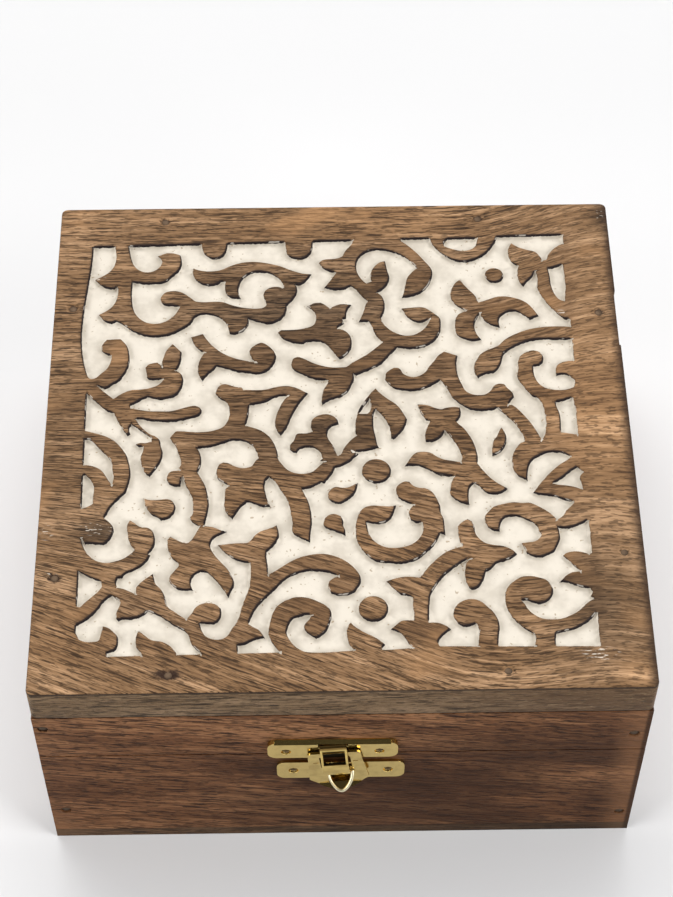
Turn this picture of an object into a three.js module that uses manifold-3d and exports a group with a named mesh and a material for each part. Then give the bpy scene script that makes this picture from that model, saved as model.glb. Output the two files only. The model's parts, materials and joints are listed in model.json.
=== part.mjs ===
// Carved wooden jewelry box with a hinged lid and a small brass catch.
// Millimetres, +Z up, front towards -Y. The origin is the middle of the underside.
// The lid is a carved plank nailed on four boards. Two brass hinges set into the seam carry it.
import * as THREE from 'three';
import { mergeVertices } from 'three/addons/utils/BufferGeometryUtils.js';
import Module from 'manifold-3d';

const wasm = await Module();
wasm.setup();

// Driving dimensions of the wood
const BOX_WIDTH = 152;
const BOX_DEPTH = 155;
const BODY_HEIGHT = 44.45;
const LID_WALL_HEIGHT = 19.25;
const LID_PANEL_THICKNESS = 12;
const WALL = 10;
const BASE_THICKNESS = 4;
const SEAM_GAP = 0.3;
const CARVING_DEPTH = 1.2;
const LINER_THICKNESS = 1;
const LINER_CLEARANCE = 0.4;

// Clearances between pieces that fit into each other
const FIT = 0.3;
const PIN_FIT = 0.12;

// Nails and screws. A head lies in a round seat and the shank goes on into the wood by its bite.
const NAIL = { headRadius: 1.2, headThickness: 0.7, shankRadius: 0.6, bite: 9 };
const PLATE_NAIL = { headRadius: 1.0, headThickness: 0.35, shankRadius: 0.5, bite: 6 };
const PLATE_NAIL_RECESS = 0.15;
const HINGE_SCREW = { headRadius: 1.2, headThickness: 0.4, shankRadius: 0.6, bite: 7 };

// Hinges
const HINGE_SPACING = 84;
const HINGE_LENGTH = 25;
const HINGE_LEAF_WIDTH = 6;
const HINGE_LEAF_THICKNESS = 0.8;
const HINGE_KNUCKLE_RADIUS = 1.6;
const HINGE_PIN_RADIUS = 0.7;
const HINGE_MIDDLE_KNUCKLE = 8.2;
const HINGE_PIN_INSET = 2.5;
const HINGE_SCREW_SPACING = 16;
const BACK_BEVEL_DEGREES = 51;

// Catch. p is the distance in front of the box's front face, h the height above the seam.
const UPPER_PLATE = { centre: -2.5, width: 32.5, bottom: 0.45, top: 7.75, thickness: 1.4 };
const LOWER_PLATE = { centre: -0.5, width: 32.3, bottom: -11.45, top: -3.25, thickness: 0.8 };
const PLATE_CORNER = 2.2;
const PLATE_NAILS = { upperSpacing: 23.3, upperHeight: 3.55, lowerSpacing: 23.9, lowerHeight: -7.45 };
const TOP_BEVEL = { drop: 0.7, depth: 1.1, inset: 1.7 };
const DIMPLE = { x: -0.7, h: -5, footRadius: 1.9, topRadius: 1.1, height: 0.6 };

// Hasp. Its pin sits askew in the upper plate, so that the hasp leans over to the dimple.
// u runs across the hasp and v up from the pin.
const HASP_LEAN_DEGREES = 6.4;
const HASP_PIN = { x: -2.4, h: 5.25, p: 0.9, radius: 0.35, reach: 2 };
const HASP_KNUCKLE_RADIUS = 0.95;
const HASP_SHEET = 0.7;
const HASP_BACK = 1.7;
const HASP_STRAP = { halfWidth: 3.35, outward: 4.2, bend: -3.9, end: -8.7 };
const HASP_WINDOW = { halfWidth: 2.8, top: -0.35, bottom: -3.9 };
const HASP_SHIELD = { top: -0.8, halfTop: 6.3, low: -13.4, halfLow: 7.4, tip: -17.7 };
const HASP_FLARE = { fold: -16.1, outward: 4 };
const HASP_SLOT = { halfWidth: 3.9, top: -2.8, bottom: -8.15 };
const HASP_SLIT = { inner: 4.3, outer: 5.6, v: -5.35, height: 0.35 };
const HASP_LIP = { root: -9.6, tip: -13.2, halfWidth: 3.4, outward: 6.4, sheet: 0.9 };
const HASP_MOUTH = { halfWidth: 2.45, top: -9.1, bottom: -11.4 };
const HASP_FLAP = { halfWidth: 2.1, thickness: 0.8, outward: 3.9 };
// The lip, the mouth and the flap lie a little to the right of the strap's middle.
const HASP_LIP_MIDDLE = 0.7;

// Materials
const COLOURS = {
  panelWood: [0x8a6a4b, 0.62, 0],
  boardWood: [0x6f5041, 0.6, 0],
  innerWood: [0x9c7a57, 0.7, 0],
  felt: [0x3c1f24, 0.95, 0],
  brass: [0xc9a64b, 0.28, 1],
  steel: [0x8c8a86, 0.4, 1],
};

// Heights and places worked out from the driving dimensions
const HALF_WIDTH = BOX_WIDTH / 2;
const HALF_DEPTH = BOX_DEPTH / 2;
const LID_BOTTOM = BODY_HEIGHT + SEAM_GAP;
const PANEL_BOTTOM = LID_BOTTOM + LID_WALL_HEIGHT;
const PANEL_TOP = PANEL_BOTTOM + LID_PANEL_THICKNESS;
const CARVED_FLOOR = PANEL_TOP - CARVING_DEPTH;
const INNER_X = HALF_WIDTH - WALL;
const INNER_Y = HALF_DEPTH - WALL;
const HINGE_AXIS_Y = HALF_DEPTH - HINGE_PIN_INSET;
const HINGE_AXIS_Z = BODY_HEIGHT + SEAM_GAP / 2;
const HINGE_LEAF_FRONT = HINGE_AXIS_Y - HINGE_LEAF_WIDTH;
const HASP_LEAN = THREE.MathUtils.degToRad(HASP_LEAN_DEGREES);

// The upper plate's window for the knuckle, about the pin. It clears the leaning knuckle all
// round, and the strap when the hasp is swung up.
const KNUCKLE_WINDOW = {
  halfWidth: HASP_STRAP.halfWidth + HASP_KNUCKLE_RADIUS * Math.sin(HASP_LEAN) + FIT,
  bottom: -HASP_KNUCKLE_RADIUS - HASP_STRAP.halfWidth * Math.sin(HASP_LEAN) - FIT,
  top: 1.87,
};

// A closed mesh becomes a solid, and a solid becomes a geometry again.
function solidOf(geometry) {
  geometry.deleteAttribute('normal');
  geometry.deleteAttribute('uv');
  const merged = mergeVertices(geometry, 1e-4);
  const vertProperties = new Float32Array(merged.attributes.position.array);
  const triVerts = new Uint32Array(merged.index.array);
  return new wasm.Manifold(new wasm.Mesh({ numProp: 3, vertProperties, triVerts }));
}

function geometryOf(solid) {
  const mesh = solid.getMesh();
  const geometry = new THREE.BufferGeometry();
  geometry.setAttribute('position', new THREE.BufferAttribute(new Float32Array(mesh.vertProperties), 3));
  geometry.setIndex(new THREE.BufferAttribute(new Uint32Array(mesh.triVerts), 1));
  return geometry;
}

function joined(solids) {
  return solids.reduce((sum, solid) => sum.add(solid));
}

// A block between two corners.
function block([x0, y0, z0], [x1, y1, z1]) {
  const geometry = new THREE.BoxGeometry(x1 - x0, y1 - y0, z1 - z0);
  geometry.translate((x0 + x1) / 2, (y0 + y1) / 2, (z0 + z1) / 2);
  return solidOf(geometry);
}

function shapeOf(points) {
  return new THREE.Shape(points.map(([u, v]) => new THREE.Vector2(u, v)));
}

// An outline in X and Y, raised from z0 to z1.
function raised(points, z0, z1) {
  const geometry = new THREE.ExtrudeGeometry(shapeOf(points), { depth: z1 - z0, bevelEnabled: false });
  geometry.translate(0, 0, z0);
  return solidOf(geometry);
}

// A section in Y and Z, carried along X from x0 to x1.
function alongX(points, x0, x1) {
  const geometry = new THREE.ExtrudeGeometry(shapeOf(points), { depth: x1 - x0, bevelEnabled: false });
  geometry.rotateX(Math.PI / 2);
  geometry.rotateZ(Math.PI / 2);
  geometry.translate(x0, 0, 0);
  return solidOf(geometry);
}

// An outline in X and Z, carried forwards from p0 to p1.
function forwards(points, p0, p1) {
  const geometry = new THREE.ExtrudeGeometry(shapeOf(points), { depth: p1 - p0, bevelEnabled: false });
  geometry.rotateX(Math.PI / 2);
  geometry.translate(0, -p0, 0);
  return solidOf(geometry);
}

// A section in p and Z, carried along X.
function sectionX(points, x0, x1) {
  return alongX(points.map(([p, z]) => [-p, z]), x0, x1);
}

// A block between two heights, as far to the left of X = 0 as to the right.
function slab(halfWidth, bottom, top, p0, p1) {
  return block([-halfWidth, -p1, bottom], [halfWidth, -p0, top]);
}

// A round bar along X.
function barX(radius, x0, x1, y, z, sides) {
  const geometry = new THREE.CylinderGeometry(radius, radius, x1 - x0, sides);
  geometry.rotateZ(Math.PI / 2);
  geometry.translate((x0 + x1) / 2, y, z);
  return solidOf(geometry);
}

// A nail or screw. It starts as a lathe that points down from the origin, and is then turned
// so that it is driven along a direction. grow widens it into the hole that it needs.
const NAIL_SIDES = 8;

function nail(kind, at, direction, plate, grow = 0, mouth = 0) {
  const head = kind.headRadius + grow;
  const shank = kind.shankRadius + (grow > 0 ? PIN_FIT : 0);
  const length = plate + kind.bite + grow;
  const profile = [
    [0, mouth],
    [head, mouth],
    [head, -kind.headThickness],
    [shank, -kind.headThickness],
    [shank, -length],
    [0, -length],
  ];
  const points = profile.reverse().map(([r, y]) => new THREE.Vector2(r, y));
  const geometry = new THREE.LatheGeometry(points, NAIL_SIDES);
  const down = new THREE.Vector3(0, -1, 0);
  const turn = new THREE.Quaternion().setFromUnitVectors(down, new THREE.Vector3(...direction));
  geometry.applyQuaternion(turn);
  geometry.translate(...at);
  return solidOf(geometry);
}

// Every nail is a row: its name, its kind, where its head's top lies, and its direction.
// plate is the thickness of what it holds down.
const DOWN = [0, 0, -1];
const UP = [0, 0, 1];
const BACKWARD = [0, 1, 0];
const FORWARD = [0, -1, 0];
const MOUTH = 1;

function lidNails() {
  const side = HALF_WIDTH - WALL / 2;
  const end = HALF_DEPTH - WALL / 2;
  const places = {
    back_left: [-47, end],
    back_right: [40, end],
    left_back: [-side, 41.7],
    right_back: [side, 38.4],
    left_front: [-side, -44.5],
    right_front: [side, -38.9],
    front_left: [-42, -end],
    front_right: [40, -end],
  };
  return Object.entries(places).map(([name, [x, y]]) => ({
    name: `lid_nail_${name}`, kind: NAIL, at: [x, y, PANEL_TOP], direction: DOWN, plate: LID_PANEL_THICKNESS,
  }));
}

// The corner nails, as the distance in from the side and the height above the board's lower edge.
const FRONT_NAILS = {
  lid_left: [2.3, 13.75],
  lid_right: [3.6, 7.75],
  body_left: [3.8, 11],
  body_right: [3.1, 6],
};

function cornerNails() {
  return Object.entries(FRONT_NAILS).flatMap(([place, [inset, height]]) => {
    const [level, side] = place.split('_');
    const x = (side === 'left' ? -1 : 1) * (HALF_WIDTH - inset);
    const z = height + (level === 'lid' ? LID_BOTTOM : BASE_THICKNESS);
    const row = { kind: NAIL, plate: WALL };
    return [
      { ...row, name: `${level}_front_nail_${side}`, at: [x, -HALF_DEPTH, z], direction: BACKWARD },
      { ...row, name: `${level}_back_nail_${side}`, at: [x, HALF_DEPTH, z], direction: FORWARD },
    ];
  });
}

function baseNails() {
  const x = HALF_WIDTH - WALL / 2;
  const y = HALF_DEPTH - 2.5 * WALL;
  return [-1, 1].flatMap((i) => [-1, 1].map((j) => ({
    name: `base_nail_${j < 0 ? 'front' : 'back'}_${i < 0 ? 'left' : 'right'}`,
    kind: NAIL, at: [i * x, j * y, 0], direction: UP, plate: BASE_THICKNESS,
  })));
}

function hingeScrews(name, centre) {
  const y = HINGE_LEAF_FRONT + HINGE_LEAF_WIDTH * 0.42;
  return [['left', -1], ['right', 1]].flatMap(([side, sign]) => {
    const x = centre + sign * HINGE_SCREW_SPACING / 2;
    return [
      {
        name: `${name}_body_screw_${side}`,
        kind: HINGE_SCREW, at: [x, y, BODY_HEIGHT], direction: DOWN, plate: 0,
      },
      {
        name: `${name}_lid_screw_${side}`,
        kind: HINGE_SCREW, at: [x, y, LID_BOTTOM], direction: UP, plate: 0,
      },
    ];
  });
}

// The catch's nails, in the catch's own frame.
function catchNails() {
  const rows = [
    ['upper', UPPER_PLATE, PLATE_NAILS.upperSpacing, PLATE_NAILS.upperHeight],
    ['lower', LOWER_PLATE, PLATE_NAILS.lowerSpacing, PLATE_NAILS.lowerHeight],
  ];
  return rows.flatMap(([level, plate, spacing, h]) => [['left', -1], ['right', 1]].map(([side, sign]) => ({
    name: `catch_${level}_nail_${side}`,
    kind: PLATE_NAIL,
    at: [plate.centre + sign * spacing / 2, PLATE_NAIL_RECESS - plate.thickness, h],
    direction: BACKWARD,
    plate: plate.thickness,
  })));
}

// The same row in the box's frame.
function onBox(row) {
  const [x, y, z] = row.at;
  return { ...row, at: [x, y - HALF_DEPTH, z + BODY_HEIGHT] };
}

const LID_NAILS = lidNails();
const CORNER_NAILS = cornerNails();
const BASE_NAILS = baseNails();
const CATCH_NAILS = catchNails();
const HINGES = [['hinge_left', -HINGE_SPACING / 2], ['hinge_right', HINGE_SPACING / 2]];
const HINGE_SCREWS = HINGES.flatMap(([name, centre]) => hingeScrews(name, centre));

function holesFor(nails) {
  return nails.map((row) => nail(row.kind, row.at, row.direction, row.plate, FIT, MOUTH));
}

function without(solid, cutters) {
  return cutters.reduce((rest, cutter) => rest.subtract(cutter), solid);
}

// Carved arabesque of the lid. Each outline is a list of runs in millimetres from the middle of
// a panel as large as DRAWN. A run starts at a corner and bends smoothly up to the next run's
// corner. Outlines that grow out of the frame run past the field's edge.
const DRAWN = { width: 152, depth: 155 };

const FIELD = [
  [-66.5, 63.5], [63.1, 66.1], [62.6, -65.8], [24, -65.3], [10, -66.1], [-64.7, -67.1],
];

const ISLANDS = {
  backLeftScroll: [
    [-61.2, 66, -60.5, 62.5, -60.2, 60, -60.6, 57, -62.2, 54.3],
    [-65.6, 51.9, -63.2, 49.3],
    [-60.2, 48.5],
    [-59.4, 49.3, -59.2, 47, -60, 43.5, -61.7, 41.2],
    [-64, 39.6, -62.2, 37.2],
    [-60.3, 36.5],
    [-59, 37.2, -57.3, 36, -55, 34, -52, 32.3, -48, 31.7, -44, 32.6, -41, 34.5, -39, 36.3, -38, 38.3,
      -36, 39.3, -33.5, 39, -31, 37.7, -29.4, 35.5, -28.9, 33.5],
    [-28.6, 32.4, -26.6, 32.5, -24.6, 33.8, -23.5, 35.8],
    [-23.6, 37.6, -21.6, 36.7, -19, 35.8, -16.5, 36.2, -14.4, 37.8, -13.4, 40],
    [-13.2, 42, -11.8, 43.8, -10.6, 46, -10.4, 48.2],
    [-10.8, 49.3],
    [-9.6, 49.2, -8, 50.6],
    [-6.5, 53.1, -9, 53.4, -12, 54.6, -15, 56.1, -19, 57.3, -22.5, 57.8, -26, 57.4, -29, 56.2,
      -31.5, 54.9, -34.5, 54.5, -37, 54.9],
    [-38.9, 55.7, -39, 53.7, -38.2, 51.6, -36.5, 50, -34.2, 49.4, -32.3, 49.8],
    [-31, 50.8],
    [-30.1, 50.5, -30.2, 48.5, -29.8, 46.5, -28.3, 45],
    [-25.6, 44.6, -26.3, 46.7, -26.2, 49, -25.3, 51.5, -23.3, 53.4, -20.8, 54, -18, 53.5,
      -15.5, 51.6, -14.4, 49.7],
    [-14.3, 48.2, -15.5, 48.7, -17.5, 48.6, -19.2, 47.4, -19.7, 45.8],
    [-19.2, 43.8],
    [-18.8, 42.4, -19.8, 41.4, -22.5, 41.2, -26, 41.8, -29, 42.9, -31, 43.7],
    [-36.5, 43.7],
    [-38, 44, -39.8, 45.7, -41.8, 47.2, -43.7, 47.7, -46, 47.3, -47.4, 45.8, -47.5, 44.2,
      -46.5, 42.8, -44.5, 42.4],
    [-42.3, 42, -43.6, 39.3, -45.7, 37.2, -48.5, 36.3, -51, 36.8, -53.2, 38.6, -54.6, 41.2,
      -55.2, 45, -55.3, 49],
    [-55.2, 50.8, -52, 50.2, -48.5, 50.3],
    [-46, 50.9, -44.6, 52.6, -42.6, 55, -42, 57.7],
    [-42.4, 60.3, -43.5, 60.9, -46, 61.3],
    [-48.8, 60.1, -47.8, 58.9, -47.7, 57.4, -48.6, 55.7, -50.2, 54.6, -52, 54.5, -53.7, 55.3,
      -55.2, 57.2, -56, 59.8, -56.6, 63],
    [-56.8, 66],
  ],
  backTabLeft: [
    [-36.9, 66, -36.7, 63, -35.9, 60.8, -34.4, 59.2, -32.6, 58.9, -30.8, 59.9, -29.8, 62],
    [-29.4, 66],
  ],
  backTabMiddle: [
    [-13.8, 66, -13.6, 62.5, -13, 60, -11, 58.6, -8.8, 58.6, -7, 60, -6.2, 62],
    [-5.9, 66],
  ],
  backSwirl: [
    [5, 66, 4.5, 63.8, 2.8, 61.3],
    [1.9, 59.3, 0.3, 58.6, -3.2, 58.2],
    [-4.5, 57, -3.2, 55, -1.3, 53.9],
    [0.2, 53.6, -1.2, 51.2],
    [-3.1, 48.2],
    [0, 47.4, 2.7, 47.8, 4.2, 48.6, 5.8, 46.9, 7.4, 44.6],
    [8.6, 43.2],
    [8, 42.2, 7.3, 39.5],
    [6.1, 36.2],
    [8.8, 36.2, 9.6, 34, 10.6, 31.3],
    [12.2, 28.9, 8, 25, 4, 22.2],
    [2.5, 20.8, -0.6, 20.7, -2.7, 21, -4.9, 21.7, -7, 22.75, -8.5, 23.7, -10.3, 24.4, -11.8, 23.7,
      -12.2, 22, -11.8, 20.4, -10.9, 19.5, -9.5, 18.6, -7.7, 17.6, -5.6, 16.7, -3.4, 16.5],
    [-2.5, 16.3, -2.7, 15.25, -3.6, 13.6, -4, 11.9, -4.25, 9.7],
    [-4, 8.4, -2.7, 9.5, -0.6, 10.4, 1.2, 11.1, 3, 12.9, 3.9, 15.1, 4.5, 16.9],
    [4.4, 18.3],
    [5.1, 17.9, 6.6, 18.8, 8.4, 19.7, 10.1, 20.6, 11.9, 21.9, 14, 24.5],
    [16.2, 27.1, 20, 26.7, 22.3, 27, 24.6, 28, 26.7, 30, 27.9, 32.5, 28.2, 35.2, 28, 37.2,
      26.3, 39, 24.2, 40.7, 22, 41],
    [17.7, 40.6, 18.9, 38, 20.6, 36.3, 22.5, 35.6],
    [25.2, 36.7, 24.3, 34.6, 22.8, 32.8, 20.8, 31.5, 18.9, 31.2, 16.7, 31.8, 14.4, 33.4, 12.7, 35.7],
    [12.2, 37.4, 13, 39.6, 13.3, 42, 12.7, 44.8],
    [11.4, 46.3, 12.7, 47.2, 14.2, 49.2, 14.8, 51.7, 14.3, 54.2],
    [13.8, 57.5, 12, 56.9, 10.3, 55, 9.5, 52.7],
    [9.7, 50.2],
    [8.4, 49.6, 7, 51.5, 6, 54, 5.9, 56.7, 7, 59.2, 9, 60.9, 12, 61.5, 15, 60.9, 18, 59.5, 20.2, 57.8],
    [22.3, 54.8, 20.9, 53.4, 19.5, 51.3, 18.9, 48.5],
    [18, 44.4, 20.5, 44.8, 23.3, 46.1, 25.4, 48.7, 26.6, 52.5, 26.2, 55, 24.6, 57.5, 22.5, 60.5,
      20, 63.3],
    [18.5, 64.6],
    [18, 68],
    [5, 68],
  ],
  heartLeaf: [
    [-7.8, 41.7, -6, 42.8, -4, 43, -2.7, 42.1],
    [-1.4, 40.8],
    [-1.2, 41.3, 1.3, 42.4],
    [4.2, 42.1, 3.1, 40.2],
    [2.7, 37.3],
    [1.8, 37],
    [2.2, 35.7],
    [0.6, 34.4],
    [0.3, 33.8, 2, 33.4, 3.6, 31.7, 4.1, 29.5, 3.8, 27, 2.6, 24.9],
    [0.8, 23.4, -0.6, 25.2, -1.8, 27.3, -3.3, 28.9, -5.2, 29.6, -8, 29.4],
    [-8.7, 28.8, -11, 29, -13.3, 29.9, -14.9, 31.3],
    [-15.7, 32.8],
    [-14.9, 33.6, -10, 33.8, -6.6, 34.9, -5.6, 36.6, -5.6, 38.6, -6.3, 40.2],
  ],
  backRing: [
    [26, 68],
    [26, 67, 26.8, 63.5, 28.8, 60.6, 31.2, 58.3, 33.8, 57, 36.3, 56.9, 39, 57.9, 41.5, 59.7,
      43.3, 62, 44.8, 65],
    [45.2, 68],
  ],
  cornerFlower: [
    [66, 63.5],
    [64, 63.5],
    [62.2, 62.7, 60.2, 61.2, 58.7, 59.2],
    [58.1, 57.3],
    [57, 57, 56.6, 58.4, 55.3, 60.2, 53, 61, 50.7, 62],
    [48.8, 63.5, 47.7, 61.3, 47.7, 58.7, 48.7, 56.2],
    [50.2, 55.2, 49.8, 53.2, 49.8, 50.8, 50.4, 48.9],
    [51.2, 47.9, 52.2, 49.4, 53.7, 51],
    [54.8, 53.2, 55.1, 50.5, 54.9, 47, 56, 44, 58, 40.5, 60, 37.8, 61.7, 36.3],
    [64, 36.2],
    [66, 36.2],
  ],
  trefoil: [
    [34.1, 50.6, 35, 48.9, 36.6, 46.7, 38, 44.7],
    [38.7, 42.4, 41, 43.3, 44, 44.4, 47, 44.3, 50, 43.3, 52, 41.9, 53.5, 39.8],
    [54.7, 37.5],
    [52.2, 36.3, 50.8, 37.5, 49.3, 38.8, 47.6, 39.2, 45.9, 38.7, 44.3, 37.2, 43.8, 35.8],
    [44, 33.8, 42.3, 34.1, 40.6, 35.3],
    [39.2, 37.3],
    [38.9, 38.4, 37.7, 36.3, 37.2, 34.3, 37.6, 31.8],
    [38.8, 29.6, 36.3, 29.2, 33.9, 29.9, 32.2, 31.5, 31.8, 34, 32.1, 36.6, 33, 38.4],
    [35, 39.5, 33, 41, 31.6, 42.9, 31.1, 45.5, 32, 48.5, 33, 49.8],
  ],
  rightArc: [
    [66, 33.5],
    [64, 33.5, 60, 33.8, 56, 33.7, 52, 33, 48, 31.4, 45, 29.5, 43, 27.4, 40.5, 26.2, 38.3, 24.7,
      37, 22.6, 36.4, 21.1, 36.25, 19.4, 36.6, 17.6],
    [37.3, 16.5, 38.2, 17.4, 40, 18.1, 41.8, 18.6, 43, 20.1, 43.75, 21.9, 44.6, 24.6, 46.8, 26.5,
      50, 28.3, 54, 29.3, 58, 29.3],
    [64, 29.2],
    [66, 29.2],
  ],
  leftHook: [
    [-68, 18.8],
    [-65.9, 18.8],
    [-65.1, 17.75, -63.9, 18.1, -62.6, 19.5, -61.2, 21, -60.3, 23, -60, 24.8],
    [-60, 25.5, -61, 25.8, -62.5, 27, -62.7, 29],
    [-61.5, 31],
    [-57.7, 31.2, -56, 29, -55.2, 26, -55.1, 22.6, -55.7, 20.4, -56.6, 18.5, -57.6, 17, -58.9, 16,
      -60.3, 14.9],
    [-61.2, 14.4],
    [-63.2, 15.5, -61.6, 13.8, -60.1, 12.4],
    [-58.8, 11.2, -57.3, 12.4, -55.9, 13.3, -54.1, 14, -52.3, 14.1, -50.1, 14.4, -48.5, 14.9,
      -47.5, 15.4, -46.6, 16.3],
    [-45.9, 17.4, -48, 17.2, -49.4, 17.3],
    [-50.3, 17.9, -50.5, 19.4],
    [-50.9, 21.3, -50.1, 22.4, -48.7, 22.9, -47.6, 23.1, -46.9, 22.4],
    [-46.4, 21.7, -46.5, 23, -46.2, 24.5, -45.5, 27],
    [-43.8, 29.3, -43, 28.5, -41.3, 26.5, -41.3, 24, -41.6, 22.6, -42.1, 21.1],
    [-42.6, 20.3, -41.4, 19.4, -40.7, 17.9, -40.6, 16.5, -41, 14.4, -41.9, 12.6, -43.4, 11.4, -45.1, 11],
    [-46.2, 10.7, -48, 11.1, -49.8, 11.5, -51.6, 10.6, -53, 9.5],
    [-54.25, 8.8],
    [-54.1, 8, -51.9, 7.5, -49.4, 7, -46.6, 6.9, -43.7, 6.9, -41.2, 7.6, -38.7, 8.4, -37.3, 8.6,
      -36, 7.9, -35.5, 7, -35.7, 6, -36.6, 5.1, -38.7, 4.4, -41.6, 3.7, -44.4, 3.4, -47.3, 3.6,
      -49.4, 3.9, -51.2, 4.4],
    [-52.6, 4.4, -51.6, 2.6, -50.1, 0.8, -48.7, -0.5, -47.3, -1.2, -46.2, -2.4, -45.9, -4.2,
      -45.3, -6.4, -45.5, -8.5, -46.2, -10.3, -47.3, -12.1],
    [-48.4, -13.9, -49.4, -13.3, -50.3, -11.7, -50.9, -9.6, -51, -7.4, -50.5, -5.6],
    [-50.4, -4.6, -51.6, -4.5],
    [-52.4, -3.7, -51.2, -3.2, -49.8, -3.3],
    [-48.5, -2.8, -48.5, -1.9, -49.4, -1, -50.9, 0.25, -52.3, 1.5],
    [-53.7, 2.6, -54.25, 1.1, -53.9, -0.3],
    [-54.6, -0.8, -55.5, 0.25, -56.6, 2.2, -57.5, 4],
    [-58, 5.1],
    [-58.5, 6.3, -59.8, 6.9, -61.2, 7.9, -62.6, 9.4, -64.1, 10.8, -65, 11.9],
    [-65.8, 12.75],
    [-68, 12.75],
  ],
  leftLoop: [
    [-68, 1],
    [-65.9, 0.9, -64.1, 0.4, -61.9, -0.3, -59.8, -1.2, -57.6, -2.8, -55.9, -4.9, -54.6, -7.1,
      -53.9, -9.6, -53.4, -12.1, -53.4, -14.6, -53.9, -17.1, -54.4, -18.9, -55.7, -20.3,
      -56.9, -21.9, -58.2, -23.75, -58.9, -25.4],
    [-59.4, -26.6, -58.4, -27.5, -57.3, -28.9, -56.9, -30.4, -57.3, -32.1, -58.2, -33.75,
      -59.25, -34.6, -61.2, -34.5, -62.6, -34.3],
    [-63.9, -34.3],
    [-64.9, -32.6],
    [-64.4, -34.8, -63.7, -36.4, -62.3, -38.2, -60.5, -39.5, -58.4, -40, -56.2, -39.6, -54.4, -38.9,
      -53, -37.9],
    [-52.1, -37.1],
    [-51.6, -36.25, -52.5, -34.8, -53.2, -33.2, -53.5, -31.1, -53.7, -28.9],
    [-53, -27.3, -51.9, -28, -50.1, -29.4, -48.4, -29.6, -47.3, -30.4, -46.6, -32.1, -46.4, -34.3,
      -46.9, -36.1],
    [-48, -37.7],
    [-47.4, -37.9, -48, -39.3, -49.4, -41.1, -51.6, -42.5, -53.4, -43.4, -54.25, -44.5],
    [-55.3, -44.6, -55.6, -46],
    [-55.3, -47.3, -53.7, -47.7, -51.9, -48.6],
    [-50.7, -49.3],
    [-50.7, -47.5, -49.8, -46.1, -48.4, -44.8],
    [-46.6, -43.4, -46.3, -44.6, -45.9, -46.25, -44.8, -47.5, -43.7, -49.3, -43.2, -51.1],
    [-42.8, -52.7, -42.3, -53.4, -40.9, -54.5, -39.4, -55.7],
    [-38, -56.6, -36.9, -55.2, -35.9, -53.4, -34.4, -52.3, -32.6, -52.1, -30.9, -52.5, -29.6, -53.75,
      -29.4, -55.7, -30, -57.3, -31.2, -58.3, -32.6, -58.2],
    [-34.6, -58, -34.25, -59.6, -33.5, -61.1, -32.3, -62.1, -30.5, -62.6, -29.1, -62.4, -28, -61.6,
      -26.9, -59.6, -25.9, -57.9, -25.1, -56.1, -24.6, -53.6, -23.7, -50.7, -22.8, -47.9, -22.5, -45,
      -22.4, -42.9],
    [-22.6, -40.7, -24.1, -40.4, -25.9, -39.8, -27.6, -38.75, -29.25, -37.1, -30.3, -35.7],
    [-30.9, -35.2, -29.4, -35, -26.9, -34.7, -25.1, -34.6],
    [-23.2, -34.6, -22.3, -33.6, -21.6, -32.5, -20.2, -31.25, -18.1, -30.4, -16.6, -29.8],
    [-15.9, -29.3, -15.6, -30.7, -15.3, -32.1, -15.6, -33.6, -16.3, -35, -17.4, -36.4],
    [-18.4, -37.3, -18.4, -39.3, -18.1, -41.4],
    [-18, -44.1, -16.6, -43.2, -14.9, -42, -12.7, -40.4, -10.2, -39.1, -7.7, -38.4, -4.9, -38.1,
      -2.4, -38.4, 0.1, -39.5, 2.3, -41.1, 3.7, -42.7, 4.8, -44.6, 5, -46.4, 4.25, -48.2, 3, -49.8,
      1.2, -50.4, -0.6, -50.5, -2.4, -49.8, -3.25, -48.2, -3.1, -46.4, -2, -45.4],
    [-0.6, -44.8, -2, -44.1, -3.4, -43.6, -5.9, -43.3, -7.7, -43.2, -9.9, -43.6, -12, -44.5,
      -13.8, -45.7, -15.6, -47.7, -17.7, -50, -19.9, -52.5, -20.9, -53.9, -21.9, -56],
    [-22.7, -58.3, -21.6, -59.1, -20.2, -60],
    [-18.7, -62.3, -19.9, -62.5, -21.9, -63.2, -23.7, -64.1],
    [-25.3, -64.5],
    [-25.1, -69],
    [-34.25, -69],
    [-34.25, -66.4, -35.9, -65, -36.9, -63.2, -37.6, -61.1],
    [-38, -60.5, -39.4, -59.6, -41.2, -58.4, -43, -57, -45.1, -55.5],
    [-47.4, -54.4, -48.5, -55.4, -50.1, -56.25, -51.9, -56.6, -53.7, -56.6],
    [-54.6, -57],
    [-55.2, -56.4, -55.3, -54.6, -54.8, -53.2],
    [-54.4, -51.6, -55.5, -50.7],
    [-56.4, -49.7],
    [-57.8, -50.7, -58.7, -51.8, -59.8, -53.75, -61.2, -55.4, -63, -57.1, -64.4, -58],
    [-65.2, -58.4],
    [-68, -58.4],
  ],
  frontLeftHorn: [
    [-68, -59.4],
    [-65.2, -59.4, -64.6, -60.7, -63.9, -62.1, -62.6, -62.7, -60.9, -62.8],
    [-59.25, -62.6, -58.9, -61.1, -58.6, -59.3],
    [-58.4, -58.4, -56.9, -58.9, -55.5, -60.2, -54.6, -61.4, -54.4, -63.6, -55, -65.2],
    [-57, -66.2],
    [-56.5, -69],
    [-68, -69],
  ],
  frontLeafLeft: [
    [-49.4, -59.8, -48, -61.1, -46.2, -62.5, -43.7, -63, -41.6, -64.3],
    [-40.1, -66.4],
    [-40.1, -69],
    [-48.7, -69],
    [-48.7, -66.4, -50, -64.6, -50.25, -62.5, -50, -60.7],
  ],
  smallLeafLeft: [
    [-49.9, -20.6, -48.4, -21.1, -46.6, -21.2, -43.4, -21, -42.1, -22, -41.5, -23.6, -42.1, -25.7,
      -43.4, -27],
    [-45.1, -27.4, -45.9, -26.8, -47.6, -25.7, -48.9, -23.9, -49.6, -22.1],
  ],
  branch: [
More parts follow.
